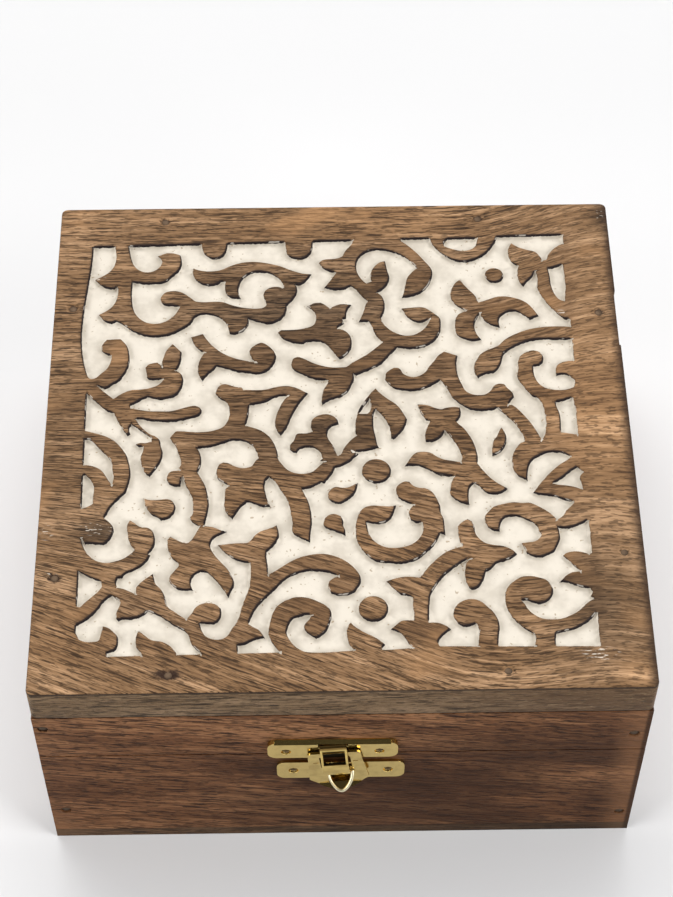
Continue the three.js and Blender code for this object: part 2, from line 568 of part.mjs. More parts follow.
    [-39, 31.5],
    [-35.7, 32.6, -34.8, 31, -33, 28.5, -30, 25.8, -27, 24.2, -24, 23.3],
    [-21.8, 22.7, -22.8, 24.5, -23.3, 26.5, -22.5, 28, -20.5, 29.3, -19, 29, -17, 27, -16.1, 24.5,
      -16.8, 21.9, -18.1, 20.1, -19.9, 19, -21.6, 18.8, -23.7, 19.2, -25.9, 19.5, -28.4, 20.25,
      -30.5, 21.1],
    [-31.9, 21.5, -32.8, 20.1, -33.7, 19.4, -34.6, 18.1],
    [-35.5, 16.75, -36.4, 18.1, -36.9, 20.1, -36.9, 21.9, -36.4, 24],
    [-35.3, 26.2, -36.3, 26.8, -37.8, 28.5],
  ],
  middleVine: [
    [-24.6, 13.6, -22, 13.6, -19.1, 13.6, -17, 14.2, -14.9, 14.7, -12.7, 14.7, -10.6, 14, -8.8, 12.9],
    [-7.7, 12.2, -9, 10.4, -10.2, 8.6, -11.3, 6.1, -12.4, 3.6, -13.1, 1.5, -14.1, -0.3],
    [-14.9, -1.4, -16.1, 0.4, -16.5, 2.2, -16.3, 4.4, -15.6, 6.5, -14.9, 8.6, -14, 10.25],
    [-13.1, 11.3, -14.9, 11.4, -16.3, 11, -17.5, 10.4, -18.4, 9.7, -19.9, 9.2, -21.6, 8.8],
    [-23, 8.5, -23.2, 6.9, -23.3, 5.1, -23.7, 3.3],
    [-24, 1.9, -21.9, 1.2, -19.9, 0.25, -18.4, -1, -17, -3, -16.1, -5.3, -15.6, -7.4],
    [-15.6, -8.5, -14.3, -10.8, -13.1, -12.25, -11.3, -13.3, -9.1, -13.6, -7, -13.1, -5.9, -12.1,
      -4.7, -10.8],
    [-3.8, -9.9],
    [-4.9, -9.75],
    [-4.3, -9, -4.4, -8.1, -5, -6.7, -6.3, -5.6, -7.7, -5.3, -9.1, -5.5, -10.3, -6.2],
    [-10.75, -7.1, -11.6, -6.9, -12.5, -6, -12.6, -4.6, -11.6, -3.1, -11.1, -1.5, -10.2, -0.8,
      -8.1, -0.8],
    [-6.8, -0.3, -7.2, 1.5, -6.9, 3.3, -5.9, 4.5, -4.1, 5.25, -2.4, 5.25, -0.9, 4.5, 0, 3.3],
    [0.2, 2.1, -1.3, 1.5, -2.4, 0.4, -2.8, -1, -2.7, -2.1, -2, -3.5, -1.1, -5.3, -0.6, -7.1],
    [-0.2, -8.1, 0.5, -7.6, 1.2, -6, 2.3, -4.2, 3.7, -2.6],
    [4.8, -1.7],
    [4.5, -1.2, 4.4, 0.4, 4.5, 2.6, 5, 5.1, 5.7, 7.2, 6.75, 9, 7.8, 10.8, 8.9, 12.4],
    [10.1, 13.6, 11, 12.4, 12.3, 11, 13.7, 9.7, 15.1, 8.6, 16.2, 7.2, 17.3, 5.1, 18.1, 3.3, 17.6, 1.5,
      16.75, -0.3, 15.5, -1.9, 14.4, -2.9],
    [13.7, -2.8, 13.5, -1, 13.2, 1.1, 12.3, 3.3, 11.2, 5.1],
    [10, 6.5, 9.4, 5.1, 9.25, 2.6, 9.3, 0.4, 9.8, -2.4, 10.1, -4.6],
    [10.5, -5.6, 8.4, -6.3, 6.2, -6.8],
    [4.3, -7],
    [5.2, -7.5, 4.25, -8.5, 3, -9.9, 1.6, -10.8, 0.1, -11.6],
    [-0.9, -11.7, -1.6, -13.5, -2.5, -14.9],
    [-3.8, -16.7],
    [-4.5, -16.4, -6.3, -17.6, -7.7, -18.1],
    [-9.4, -18.5, -8.6, -20.4, -7.9, -22.1, -7.2, -25.4, -7, -28.9, -7.4, -32.5],
    [-7.5, -34.8, -9.9, -33.4, -11.6, -32.3, -12.1, -31.1, -12, -28.9, -12.4, -26.1, -12.9, -23.2,
      -13.6, -21.1, -14.5, -19.6, -15.6, -17.4, -16.6, -15.8],
    [-17.8, -14.6, -18.8, -15.6, -19, -17.8, -18.6, -20, -18.1, -22.1],
    [-17.4, -23.75, -19.9, -23.6, -21.9, -22.7],
    [-23.5, -22.2, -25.1, -23.9, -26.2, -25.8],
    [-27.1, -27.3, -28.5, -25.9, -29.25, -23.9, -29.3, -21.9, -29.25, -19.9, -29.1, -18.1],
    [-28.1, -17.1, -29.4, -16.2, -30.7, -15.3, -31.4, -13.9, -31.4, -12.1, -30.9, -10.5, -29.8, -9.75,
      -28.4, -9.9, -26.9, -10.8, -25.1, -11.5, -23.7, -11.5, -22.3, -11, -21.6, -9.6],
    [-20.7, -8.5, -21.2, -6.7, -21.9, -5.1, -23.4, -3.7, -25.1, -3, -27.3, -2.9, -29.4, -3.5,
      -31.6, -4.4, -33.7, -4.9],
    [-36.4, -5.2, -35.7, -6.7, -35.3, -8.9, -35.5, -11],
    [-36.2, -12.8, -35.1, -14.9, -34.25, -16.7, -33.5, -19.6, -33.1, -22.9, -33.4, -25.7],
    [-34.1, -29.3, -31.6, -29.8, -29.8, -30.7],
    [-28.4, -31.1, -30.1, -32.1, -31.6, -33, -32.3, -34.3, -32.5, -35.7, -31.9, -37.1, -31, -38.6,
      -29.6, -40.4, -28.2, -42.1, -26.9, -44.6, -26.4, -46.8, -27.1, -48.9],
    [-27.8, -50.7, -29.25, -48.2, -30.5, -46.4, -31.9, -44.6, -33.2, -43.4],
    [-34.8, -43, -36, -43.75, -36.9, -45, -37.1, -46.8],
    [-36.6, -48.3, -38.4, -48.5, -40.1, -48.2, -41.6, -47.1, -42.6, -45.7, -42.5, -44.3, -41.6, -42.9],
    [-40.4, -41.3],
    [-40.5, -40.4, -41.75, -39.3, -42.8, -37.5, -43.3, -35.4, -43.4, -33.4],
    [-42.6, -32.3, -41.2, -33.2, -39.4, -34.2, -38.4, -34.5],
    [-37.7, -33.9, -36.6, -32.1],
    [-35.9, -30.6],
    [-35.4, -29.6, -36.6, -28.75, -37.5, -27.9],
    [-37.9, -26.6, -37.3, -25.6, -37.3, -22.1, -37.5, -20.6, -38.2, -18.9, -39.1, -17.1, -39.6, -15.6],
    [-40.1, -14.2, -40.3, -15.6],
    [-40.5, -17, -41.9, -17.1, -43.4, -16.4, -44.1, -14.9, -43.9, -13.5, -43, -12.4],
    [-40.7, -12.1],
    [-41.2, -11.4],
    [-40.6, -10.3, -40.7, -8.9, -41.4, -6.7, -42.1, -4.6, -43, -3.1],
    [-43.7, -1.9, -43.2, -1, -42.3, 0.25, -41.2, 0.4, -39.4, 0.25, -36.9, 0, -34.1, 0.1, -31.9, 0.6,
      -30.1, 1.5, -29.1, 2.9, -28.4, 5.1, -28.4, 7.2, -28.9, 9, -30, 10.1, -31.2, 11.1, -32.1, 12.4,
      -31.9, 13.6, -31.2, 14.9, -29.8, 15.6, -28.7, 15.4, -26.9, 14.7, -25.1, 14.4],
  ],
  starVine: [
    [20.8, 8.1, 22.1, 8.1, 23.9, 7.75, 25.4, 7],
    [27, 6.4, 28.2, 6.9, 30.4, 7.2],
    [32, 7, 32.2, 5.4, 31.8, 3.6],
    [30.9, 2.4, 31.4, 1.7, 32.5, 0.6, 33.9, -1.7, 35, -4.2, 35.6, -6.7, 35.9, -9.2],
    [35.7, -11, 37, -13.1, 38.6, -15.3, 40.4, -17.1, 41.8, -18.1],
    [42.9, -18.9, 42, -19.9, 40.7, -20.6, 39.3, -20.8, 37.9, -20.5, 36.8, -19.6, 35.4, -18],
    [34.5, -17.25, 33.4, -18.5, 33, -20.3, 32.9, -22.1],
    [33, -23.75, 31.8, -23.6, 30.4, -22.9, 28.9, -21.8, 28.1, -20.4, 28.4, -18.1, 28.8, -16.3],
    [29.5, -15.1, 27.5, -14.9, 25.4, -14.5, 23.9, -13.5, 22.1, -12.4, 20.9, -11.8, 18.4, -11.5],
    [16.9, -11.7, 17.6, -10.5, 19.1, -8.1, 20.5, -7.25, 22.1, -7.1, 23.9, -7.5, 25.4, -8.7,
      27.1, -9.6, 29.3, -10.1],
    [31.4, -10.6, 31.7, -9.2, 31.25, -7.1, 30.2, -4.6, 28.9, -2.25],
    [27.7, -0.6, 27, -2.1, 25.7, -3.3, 24.3, -4],
    [22.7, -3.9, 22.4, -2.1, 22.9, 0.1],
    [23.9, 2.6, 23, 2.9, 22, 4.5, 21.25, 6.5],
  ],
  rightVine: [
    [66, 22],
    [61.8, 22, 61.1, 21.9, 59.6, 21.5, 58.4, 20.6, 57.8, 19],
    [58, 17.2, 60, 17.4, 61.4, 16.9],
    [62.7, 15.4],
    [62.3, 13.3, 60.7, 12.6, 58.6, 12.3, 56.4, 12.6, 54.6, 13.3, 53.2, 14.7, 52.3, 16.9, 52.1, 18.6],
    [52.1, 20.25, 53.75, 20.6, 54.8, 21.9, 55, 23.3, 54.2, 25, 52, 25.7, 49.6, 24.6, 48.6, 23.6,
      48, 21.9, 47.9, 19.4, 47.5, 17.2, 47.9, 15.6, 48.9, 13.8, 50, 11.9],
    [51.4, 10.25, 52.3, 9.9, 53, 9, 53.6, 7.6, 53.9, 5.1, 54.1, 2.6, 53.9, -0.3, 53.4, -2.4],
    [52.7, -3.7, 51.8, -1.4, 50.4, 1.5, 48.6, 4.4, 47, 6.5],
    [45.7, 7.6],
    [44.7, 7.6, 45.5, 9, 46.4, 10.25, 46.1, 11.7, 44.8, 13.3, 44.1, 14.5, 42.7, 14.7, 41.4, 14.2,
      40.7, 13.1, 39.8, 11.9, 38.6, 11.1, 36.8, 11, 35, 11.5, 33.75, 12.6, 32.9, 14.7, 32.1, 17.2,
      31.8, 19.7, 31.8, 22],
    [32.2, 24.2],
    [28.6, 25.7, 26.8, 24.2, 25.9, 22.75, 24.6, 21, 23.4, 19, 21.9, 17.7, 20.1, 17.2, 18.7, 17.6,
      17.5, 18.5],
    [16.9, 19.8, 16.4, 20.25, 15.1, 20.4, 13.7, 19.5, 12.8, 18.3, 12.6, 16.3, 13.4, 15.1, 14.8, 13.5,
      16.6, 12.9, 19.1, 12.6, 22.1, 12.9, 23.9, 13.8, 25.7, 14.9],
    [27.3, 16, 28, 14.7, 29.3, 12.2, 29.8, 10.8, 30.7, 9.5, 32.3, 7.9, 33.6, 6.9, 35.4, 6, 37.9, 6,
      40.4, 6],
    [41.6, 6.5, 42.9, 5.25, 44.3, 3.6, 45.7, 1.9, 47.1, -0.6, 48, -2.8],
    [48.2, -4.2, 46.8, -4.9, 45.7, -6.4, 44.8, -8.5, 44.5, -10.6, 44.6, -12.8, 45.2, -14.2,
      46.4, -15.6],
    [48.2, -16.5, 48.4, -14.2, 48.75, -12.4, 49.3, -11, 50.2, -9.9, 51.8, -8.9, 53.2, -8.1, 55, -7.8,
      57.1, -8, 58.9, -8.7],
    [59.8, -9.3, 58.6, -10.3, 56.4, -11.9, 54.3, -13.9, 52.5, -16, 51.1, -17.8],
    [49.3, -20.5, 50.7, -21, 52.9, -21.4, 55, -21.8, 57.1, -22.7],
    [59.4, -23.4, 58.9, -24.3, 57.3, -25.9, 56.4, -27.5],
    [54.2, -29.2],
    [54.6, -31.2, 57.5, -31.4, 59.6, -30.7, 61.1, -30],
    [62.5, -29.2],
    [66, -29.2],
  ],
  rightHook: [
    [40.2, -32, 39.3, -32, 37.9, -31.4, 37.1, -30.4, 36.6, -28.9, 36.6, -27.5, 37.5, -26.1,
      38.9, -24.6, 41.4, -23.75, 44.3, -23.2, 46.4, -23.5, 48.2, -23.4, 50.4, -24.5, 52.1, -25.7,
      53.75, -27.1, 54.7, -28.6, 55, -30.7, 55.2, -32.5, 55.2, -34.6, 54.3, -36.8, 53.4, -38.4,
      51.8, -39.3, 50, -40, 48.2, -39.8, 46.6, -38.9, 45.9, -37.1],
    [45.4, -35.7, 47.1, -35.4],
    [48.6, -35.2, 50, -34.2],
    [50.5, -33.2, 50, -32.1, 49.6, -30.7, 48.6, -29.6, 46.8, -28.6, 45, -27.7, 43.2, -27.6, 41.8, -28,
      40.7, -29.3, 40.3, -30.7],
  ],
  smallLeafRight: [
    [42.5, 0.4, 43.2, -1, 43.6, -2.4, 43.4, -4.6, 42.5, -6.7, 41.1, -8.1],
    [39.7, -8.6, 39.5, -7.1, 39.8, -5.3, 40.2, -3.7, 41.1, -2.4, 41.6, -1],
  ],
  bean: [
    [4.9, -16.7, 3.7, -17.25, 2.3, -18, 0.9, -18.1, -0.9, -17.8, -2.2, -18.5, -2.9, -19.8, -2.9, -21,
      -2.4, -22, -0.9, -23, 0.1, -23.1, 1.6, -22.3, 3, -21.1, 4.1, -19.6],
  ],
  frontRing: [
    [18.7, -23.7, 17.6, -25.3, 17.5, -26.8, 18, -28.4, 19.4, -29.2],
    [20.7, -29.1, 20.9, -30.4, 20.5, -32.5, 19.4, -34.3, 17.6, -35.7, 15.5, -36.4, 13, -36.6,
      11.2, -36.25, 9.4, -35.2, 8, -33.6, 7.1, -31.4, 6.9, -29.6],
    [6.75, -28.9, 8, -29.2, 9.8, -29.4, 11.6, -28.9, 12.8, -27.9, 13.7, -26.1],
    [14.4, -23.75, 13, -24, 10.9, -23.9, 8.4, -23.7, 6.2, -24.3, 5, -25.7, 4.25, -27.9, 3.8, -30,
      3.9, -32.5, 4.1, -34.3, 5, -36.4, 6.2, -38.2, 7.6, -39.8, 9.8, -40.9, 12.3, -41.1, 14.8, -41.4,
      17.3, -40.9, 19.4, -40, 21.8, -37.8, 23.9, -35.4, 24.8, -33.6],
    [25.2, -32.4],
    [26.5, -32.9, 26.4, -30, 26.25, -27.9, 25.7, -26.4, 25.5, -23.9, 24.7, -21.6, 23.7, -19.7,
      22, -18.6, 20.5, -18.4, 19.1, -17.8, 18, -16.5, 16.8, -16.4, 15.7, -16.9, 14.6, -18.1,
      14.4, -19.6, 15, -21.6, 16.6, -22.7],
  ],
  pip: [
    [1.4, -32.7, 0.1, -32.1, -1.6, -31.4, -3.4, -30.5, -4.2, -29.1, -3.8, -27.3, -2.7, -26.4,
      -1.3, -26.1, 0.3, -26.8, 0.9, -28.2, 0.9, -29.8, 1.4, -31.1],
  ],
  frontSwirl: [
    [-14.9, -69],
    [-14.9, -66.8, -16.3, -65, -17.4, -62.9, -18, -61.1, -17.7, -58.6, -17.2, -56.1, -16.1, -53.6,
      -14.3, -52, -12, -50.9, -9.9, -50.7, -7.7, -51.1, -5.6, -52.1, -3.8, -53.2, -2.7, -54.5,
      -2.4, -56.1, -2.9, -58.6, -3.8, -60.7, -5.2, -62.1],
    [-6.3, -62.7, -7.7, -61.8, -9.1, -60.2, -9.1, -58.6, -8.25, -57.5],
    [-7.4, -56.1, -8.4, -55.9, -10.2, -56.4, -11.8, -57, -12.7, -58.4, -13.25, -60, -13.4, -61.1,
      -12.7, -62.9, -11.3, -64.8, -9.5, -66.1],
    [-8.1, -66.6],
    [-8.1, -69],
  ],
  frontLeafMiddle: [
    [2.3, -58.2, 3, -59.1, 4.8, -60.5, 6.6, -61.6, 8.7, -62.9],
    [10.5, -64.6],
    [9.8, -65.7],
    [9.8, -69],
    [3, -69],
    [3, -66.4, 1.75, -64.6, 1.2, -62.5, 1.1, -60.7, 1.6, -58.9],
  ],
  palm: [
    [17.6, -69],
    [17.6, -66.4, 16.2, -64.6, 15.1, -62.5, 14.1, -61.4],
    [11.9, -60.4, 13.4, -58.9, 14.8, -57.9, 16.6, -57.8],
    [17.6, -57.9, 17.7, -55.7, 17.5, -53.9],
    [17.6, -51.4, 16.6, -50.9, 14.8, -50.4, 13.2, -48.9],
    [11.2, -46.6, 12.6, -45.9, 15.5, -45.2, 17.6, -45.2],
    [19.6, -45.5, 20.4, -44.3, 22, -42.1, 23.9, -40.1, 26.4, -38, 28.6, -37],
    [30.5, -36.4, 29.8, -34.3, 29.6, -32.1, 29.6, -30.4, 30.4, -29.4, 31.4, -28.6, 32.3, -28.2,
      33.4, -28.9, 33.9, -30.4, 34.1, -32.5, 35, -34.1, 36.4, -35.4, 38.6, -36.1, 40.7, -36.4,
      42.9, -37.5],
    [44.1, -38.8, 42.9, -40, 41.1, -40.9, 38.9, -41.6, 37.5, -43.2],
    [36.1, -43.9, 35.7, -45.4, 35, -47.1, 33.9, -48.6, 32.3, -49.3, 31.25, -47.9, 30.7, -45.7,
      30.8, -43.6, 31.25, -41.4],
    [32.3, -40.3, 30.7, -40.9, 28.6, -42.5, 26.4, -44.3, 24.6, -46.4, 23.2, -48.6, 22.1, -50.7,
      21.7, -53.6, 21.5, -56.4],
    [21.4, -58.5, 23.6, -58.6, 25.4, -59.3],
    [26.7, -60.5, 25.4, -61.6, 23.9, -63.2, 23.4, -64.5],
    [23.75, -65.3],
    [23.75, -69],
  ],
  frontHook: [
    [33, -69],
    [33, -65.1, 33.2, -62.9, 33.4, -60.7],
    [32.9, -59.1, 31.8, -59.5, 30, -59.9, 28.6, -59.1, 27.5, -57.3, 27.3, -56.2, 27.7, -54.6,
      28.9, -53, 30.7, -52.1, 32.3, -51.9, 33.9, -52.3, 35.7, -53.75, 37.1, -55.4, 38.2, -57.5,
      38.6, -59.6, 38.2, -62.9],
    [38, -65.4],
    [38, -69],
  ],
  frontRightSwirl: [
    [66, -38.9],
    [62.7, -38.9],
    [62.1, -39.3, 61.1, -38.75, 59.3, -38.3, 57.5, -38.4, 56.1, -38.9],
    [55.5, -39.6, 56.8, -41.1, 57.9, -42.5, 58.9, -43.6],
    [59.5, -44.3, 58.6, -44.3, 57.1, -44.6, 55.7, -45.5, 54.8, -46.6],
    [54, -47.4, 55.7, -47.4, 57.5, -48.2, 59.3, -48.9],
    [61.6, -49.4, 62, -50.4],
    [61.4, -51.6],
    [62.1, -52.3, 60.7, -53.2, 59.3, -54.6, 57.9, -55.9, 55.7, -57.1, 53.6, -57.9, 51.1, -58,
      48.9, -57.6, 47.1, -56.4, 45.9, -55, 45.2, -53.6],
    [44.5, -52.6, 45.7, -52.5, 47.1, -53.2, 48.9, -53.6, 50.7, -52.9, 52, -51.4, 52.4, -49.6, 52, -48,
      50.9, -46.6, 48.9, -45.8, 46.8, -45.4, 44.6, -45.7, 42.9, -46.8, 41.4, -48.2, 40.5, -50,
      40.3, -52.1, 40.5, -54.3, 41.4, -56.8, 42.9, -58.9, 44.6, -60.7],
    [46.4, -62],
    [47, -62.5, 47, -64.3],
    [46.8, -65.1],
    [46.8, -69],
    [52, -69],
    [52, -64.6],
    [52.1, -63.3],
    [52.3, -62.1, 54.3, -61.6, 56.4, -61.1, 58.6, -60, 60.4, -58.75, 61.8, -57.3],
    [62.5, -56.4],
    [66, -56.4],
  ],
};

// Round dots of the pattern: centre and radius.
const DOTS = [
  [43.4, 51.9, 2.6],
  [9.6, -13.05, 3.8],
  [7.85, -54.4, 3.7],
];

// Pockets of the ground that lie inside an outline.
const POCKETS = [
  [[31.3, 65.2, 30.4, 64, 30.4, 62.6, 33, 61.4, 35.2, 60.8, 37.3, 61.3, 38.7, 62.6], [39.4, 65.2]],
  [[62.4, 55.4, 60, 54.4], [58.4, 54, 58.7, 51, 58.8, 48.5, 59.4, 45.6, 60.6, 43.3],
    [62, 42.5], [62.5, 48], [62.5, 52]],
  [[-66.6, -2.2], [-65.1, -2], [-64.1, -2.25, -62.6, -4, -60.9, -6, -59.4, -7.8, -58.4, -9.6,
    -58.1, -12.1, -57.8, -14.2], [-58, -16.4, -58.9, -14.9, -59.8, -13.3, -60.9, -11.7, -62.6, -10.6,
    -64.4, -10.1], [-66.6, -10.1]],
  [[-66.6, -13.5], [-64.8, -13.3, -63.7, -14.6, -62.8, -16.4, -62.6, -18.1, -62.7, -20.3],
    [-62.6, -22.1, -63.7, -22.9], [-65.7, -23.75], [-66.6, -23.8]],
  [[-66.4, -42.3], [-65.3, -42.3, -64.1, -43.2, -62.3, -44.3, -60.5, -45.2], [-59.4, -45.5,
    -59.25, -47.1, -60.3, -48.6, -61.6, -50, -63, -51.4], [-64.25, -52.9], [-65.3, -52.6],
    [-66.4, -50.5]],
  [[5.6, 5.3, 6.2, 6.6, 7.3, 8.4], [8.4, 9.6, 8.5, 8.2, 8.3, 6.2], [7.8, 5.3]],
  [[57.3, 8.3, 59.3, 8.8], [61.7, 9.7], [62.1, 4], [62.1, -2.25], [57.9, -1.4, 58.05, 1.1,
    58.1, 2.6, 57.9, 5.1, 57.3, 7.2]],
  [[54.6, -17.6, 56.1, -16.7, 57.9, -15.3, 59.6, -13.7], [61.25, -12.6], [62.5, -14.2],
    [61.6, -15.5, 61.7, -17.4], [62.1, -19.6, 60, -18.7, 57.9, -18.2, 56.1, -18]],
];

const CHORD_ERROR = 0.14;
const DOT_SIDES = 28;

function pairs(numbers) {
  const points = [];
  for (let i = 0; i < numbers.length; i += 2) {
    points.push(new THREE.Vector2(numbers[i], numbers[i + 1]));
  }
  return points;
}

// A run's curve. The middle of a stretch is kept where it stands off its chord.
function runPoints(run, next) {
  const points = [...pairs(run), pairs(next)[0]];
  const spans = points.length - 1;
  const curve = new THREE.SplineCurve(points);
  const kept = [];
  for (let i = 0; i < spans; i += 1) {
    kept.push(points[i]);
    const middle = curve.getPoint((i + 0.5) / spans);
    const chord = points[i].clone().lerp(points[i + 1], 0.5);
    if (spans > 1 && middle.distanceTo(chord) > CHORD_ERROR) {
      kept.push(middle);
    }
  }
  return kept;
}

function outlinePoints(runs) {
  return runs.flatMap((run, i) => runPoints(run, runs[(i + 1) % runs.length]));
}

function dotPoints([x, y, radius]) {
  return new THREE.EllipseCurve(x, y, radius, radius).getPoints(DOT_SIDES).slice(0, DOT_SIDES);
}

// From the drawn panel to this panel's size.
function fitted(points) {
  return points.map(({ x, y }) => [x * BOX_WIDTH / DRAWN.width, y * BOX_DEPTH / DRAWN.depth]);
}

function carvedGround() {
  const low = CARVED_FLOOR;
  const high = PANEL_TOP + MOUTH;
  const over = high + MOUTH;
  const under = low - MOUTH;
  const field = raised(fitted(pairs(FIELD.flat())), low, high);
  const islands = Object.values(ISLANDS).map((runs) => raised(fitted(outlinePoints(runs)), under, over));
  const dots = DOTS.map((dot) => raised(fitted(dotPoints(dot)), under, over));
  const pockets = POCKETS.map((runs) => raised(fitted(outlinePoints(runs)), under - MOUTH, over + MOUTH));
  return field.subtract(joined([...islands, ...dots]).subtract(joined(pockets)));
}

function lidPanel() {
  const plank = block([-HALF_WIDTH, -HALF_DEPTH, PANEL_BOTTOM], [HALF_WIDTH, HALF_DEPTH, PANEL_TOP]);
  return without(plank, [carvedGround(), ...holesFor(LID_NAILS)]);
}

// The four boards of a frame. Front and back run the full width and the sides fit between.
function boards(bottom, top) {
  const sideEnd = HALF_DEPTH - WALL;
  return {
    front: block([-HALF_WIDTH, -HALF_DEPTH, bottom], [HALF_WIDTH, -sideEnd, top]),
    back: block([-HALF_WIDTH, sideEnd, bottom], [HALF_WIDTH, HALF_DEPTH, top]),
    left: block([-HALF_WIDTH, -sideEnd, bottom], [-INNER_X, sideEnd, top]),
    right: block([INNER_X, -sideEnd, bottom], [HALF_WIDTH, sideEnd, top]),
  };
}

// The back edges are bevelled from the hinge pin outwards, so that the lid stops leaning back.
function backBevel(edge, sign) {
  const reach = HINGE_PIN_INSET + MOUTH;
  const drop = reach * Math.tan(THREE.MathUtils.degToRad(BACK_BEVEL_DEGREES));
  const section = [
    [HINGE_AXIS_Y, edge],
    [HINGE_AXIS_Y + reach, edge - sign * drop],
    [HINGE_AXIS_Y + reach, edge + sign * MOUTH],
    [HINGE_AXIS_Y, edge + sign * MOUTH],
  ];
  return alongX(section, -HALF_WIDTH - MOUTH, HALF_WIDTH + MOUTH);
}

const KNUCKLE_SIDES = 20;

// The seats of the hinge leaves and the groove around the knuckles.
function hingeSeats(faceHeight, sign) {
  const half = HINGE_LENGTH / 2 + FIT;
  return HINGES.flatMap(([, x]) => {
    const heights = [faceHeight - sign * HINGE_LEAF_THICKNESS, faceHeight + sign * MOUTH];
    heights.sort((a, b) => a - b);
    return [
      block([x - half, HINGE_LEAF_FRONT - FIT, heights[0]], [x + half, HINGE_AXIS_Y + FIT, heights[1]]),
      barX(HINGE_KNUCKLE_RADIUS + 2 * FIT, x - half, x + half, HINGE_AXIS_Y, HINGE_AXIS_Z, KNUCKLE_SIDES),
    ];
  });
}

// The hollow in the lid's front board behind the hasp's knuckle.
function knucklePocket() {
  const { halfWidth, bottom, top } = KNUCKLE_WINDOW;
  const depth = HASP_KNUCKLE_RADIUS - HASP_PIN.p + FIT;
  const z = BODY_HEIGHT + HASP_PIN.h;
  const x = HASP_PIN.x;
  return block(
    [x - halfWidth, -HALF_DEPTH - MOUTH, z + bottom],
    [x + halfWidth, -HALF_DEPTH + depth, z + top],
  );
}

function bodyBoards() {
  const rough = boards(BASE_THICKNESS, BODY_HEIGHT);
  const corner = holesFor(CORNER_NAILS);
  const base = holesFor(BASE_NAILS);
  const hinge = [backBevel(BODY_HEIGHT, 1), ...hingeSeats(BODY_HEIGHT, 1), ...holesFor(HINGE_SCREWS)];
  return {
    body_front_wall: without(rough.front, [...corner, ...holesFor(CATCH_NAILS.map(onBox))]),
    body_back_wall: without(rough.back, [...corner, ...hinge]),
    body_left_wall: without(rough.left, [...corner, ...base]),
    body_right_wall: without(rough.right, [...corner, ...base]),
  };
}

function lidBoards() {
  const rough = boards(LID_BOTTOM, PANEL_BOTTOM);
  const corner = holesFor(CORNER_NAILS);
  const top = holesFor(LID_NAILS);
  const front = [...corner, ...top, ...holesFor(CATCH_NAILS.map(onBox)), knucklePocket()];
  const hinge = [backBevel(LID_BOTTOM, -1), ...hingeSeats(LID_BOTTOM, -1), ...holesFor(HINGE_SCREWS)];
  return {
    lid_front_wall: without(rough.front, front),
    lid_back_wall: without(rough.back, [...corner, ...top, ...hinge]),
    lid_left_wall: without(rough.left, [...corner, ...top]),
    lid_right_wall: without(rough.right, [...corner, ...top]),
  };
}

function basePanel() {
  const plank = block([-HALF_WIDTH, -HALF_DEPTH, 0], [HALF_WIDTH, HALF_DEPTH, BASE_THICKNESS]);
  return without(plank, holesFor(BASE_NAILS));
}

function liner() {
  const x = INNER_X - LINER_CLEARANCE;
  const y = INNER_Y - LINER_CLEARANCE;
  const z = BASE_THICKNESS + FIT;
  return block([-x, -y, z], [x, y, z + LINER_THICKNESS]);
}

// A hinge: each leaf is a flat plate joined to its own knuckles, cut clear of the other's.
function hingeParts(name, x) {
  const half = HINGE_LENGTH / 2;
  const middle = HINGE_MIDDLE_KNUCKLE / 2;
  const spans = {
    outer: [[x - half, x - middle - FIT], [x + middle + FIT, x + half]],
    inner: [[x - middle, x + middle]],
  };
  const knuckle = ([x0, x1], radius) => barX(radius, x0, x1, HINGE_AXIS_Y, HINGE_AXIS_Z, KNUCKLE_SIDES);
  const bore = knuckle([x - half - MOUTH, x + half + MOUTH], HINGE_PIN_RADIUS + PIN_FIT);
  const screwHoles = holesFor(hingeScrews(name, x));
  const leaf = (face, sign, own, others) => {
    const heights = [face - sign * HINGE_LEAF_THICKNESS, face].sort((a, b) => a - b);
    const plate = block([x - half, HINGE_LEAF_FRONT, heights[0]], [x + half, HINGE_AXIS_Y, heights[1]]);
    const clear = others.map(([x0, x1]) => knuckle([x0 - FIT, x1 + FIT], HINGE_KNUCKLE_RADIUS + FIT));
    const knuckles = own.map((span) => knuckle(span, HINGE_KNUCKLE_RADIUS));
    return without(joined([without(plate, clear), ...knuckles]), [bore, ...screwHoles]);
  };
  return {
    [`${name}_body_leaf`]: leaf(BODY_HEIGHT, 1, spans.outer, spans.inner),
    [`${name}_lid_leaf`]: leaf(LID_BOTTOM, -1, spans.inner, spans.outer),
    [`${name}_pin`]: barX(HINGE_PIN_RADIUS, x - half, x + half, HINGE_AXIS_Y, HINGE_AXIS_Z, KNUCKLE_SIDES),
  };
}

const CORNER_STEPS = 4;

// A plate with round corners, standing on the box's face.
function plate({ centre, width, bottom, top, thickness }) {
  const r = PLATE_CORNER;
  const corners = [
    [centre + width / 2 - r, bottom + r, -90],
    [centre + width / 2 - r, top - r, 0],
    [centre - width / 2 + r, top - r, 90],
    [centre - width / 2 + r, bottom + r, 180],
  ];
  const outline = corners.flatMap(([x, h, start]) => Array.from({ length: CORNER_STEPS + 1 }, (_, i) => {
    const angle = THREE.MathUtils.degToRad(start + 90 * i / CORNER_STEPS);
    return [x + r * Math.cos(angle), h + r * Math.sin(angle)];
  }));
  return forwards(outline, 0, thickness);
}

// The hasp's pin, or the bore for it, in the hasp's own frame or leaning in the catch's frame.
function pinBar(radius, halfLength, leaning) {
  const geometry = new THREE.CylinderGeometry(radius, radius, 2 * halfLength, KNUCKLE_SIDES);
  geometry.rotateZ(Math.PI / 2);
  geometry.translate(0, -HASP_PIN.p, 0);
  if (leaning) {
    geometry.rotateY(-HASP_LEAN);
    geometry.translate(HASP_PIN.x, 0, HASP_PIN.h);
  }
  return solidOf(geometry);
}

const HASP_PIN_HALF = HASP_STRAP.halfWidth + HASP_PIN.reach;

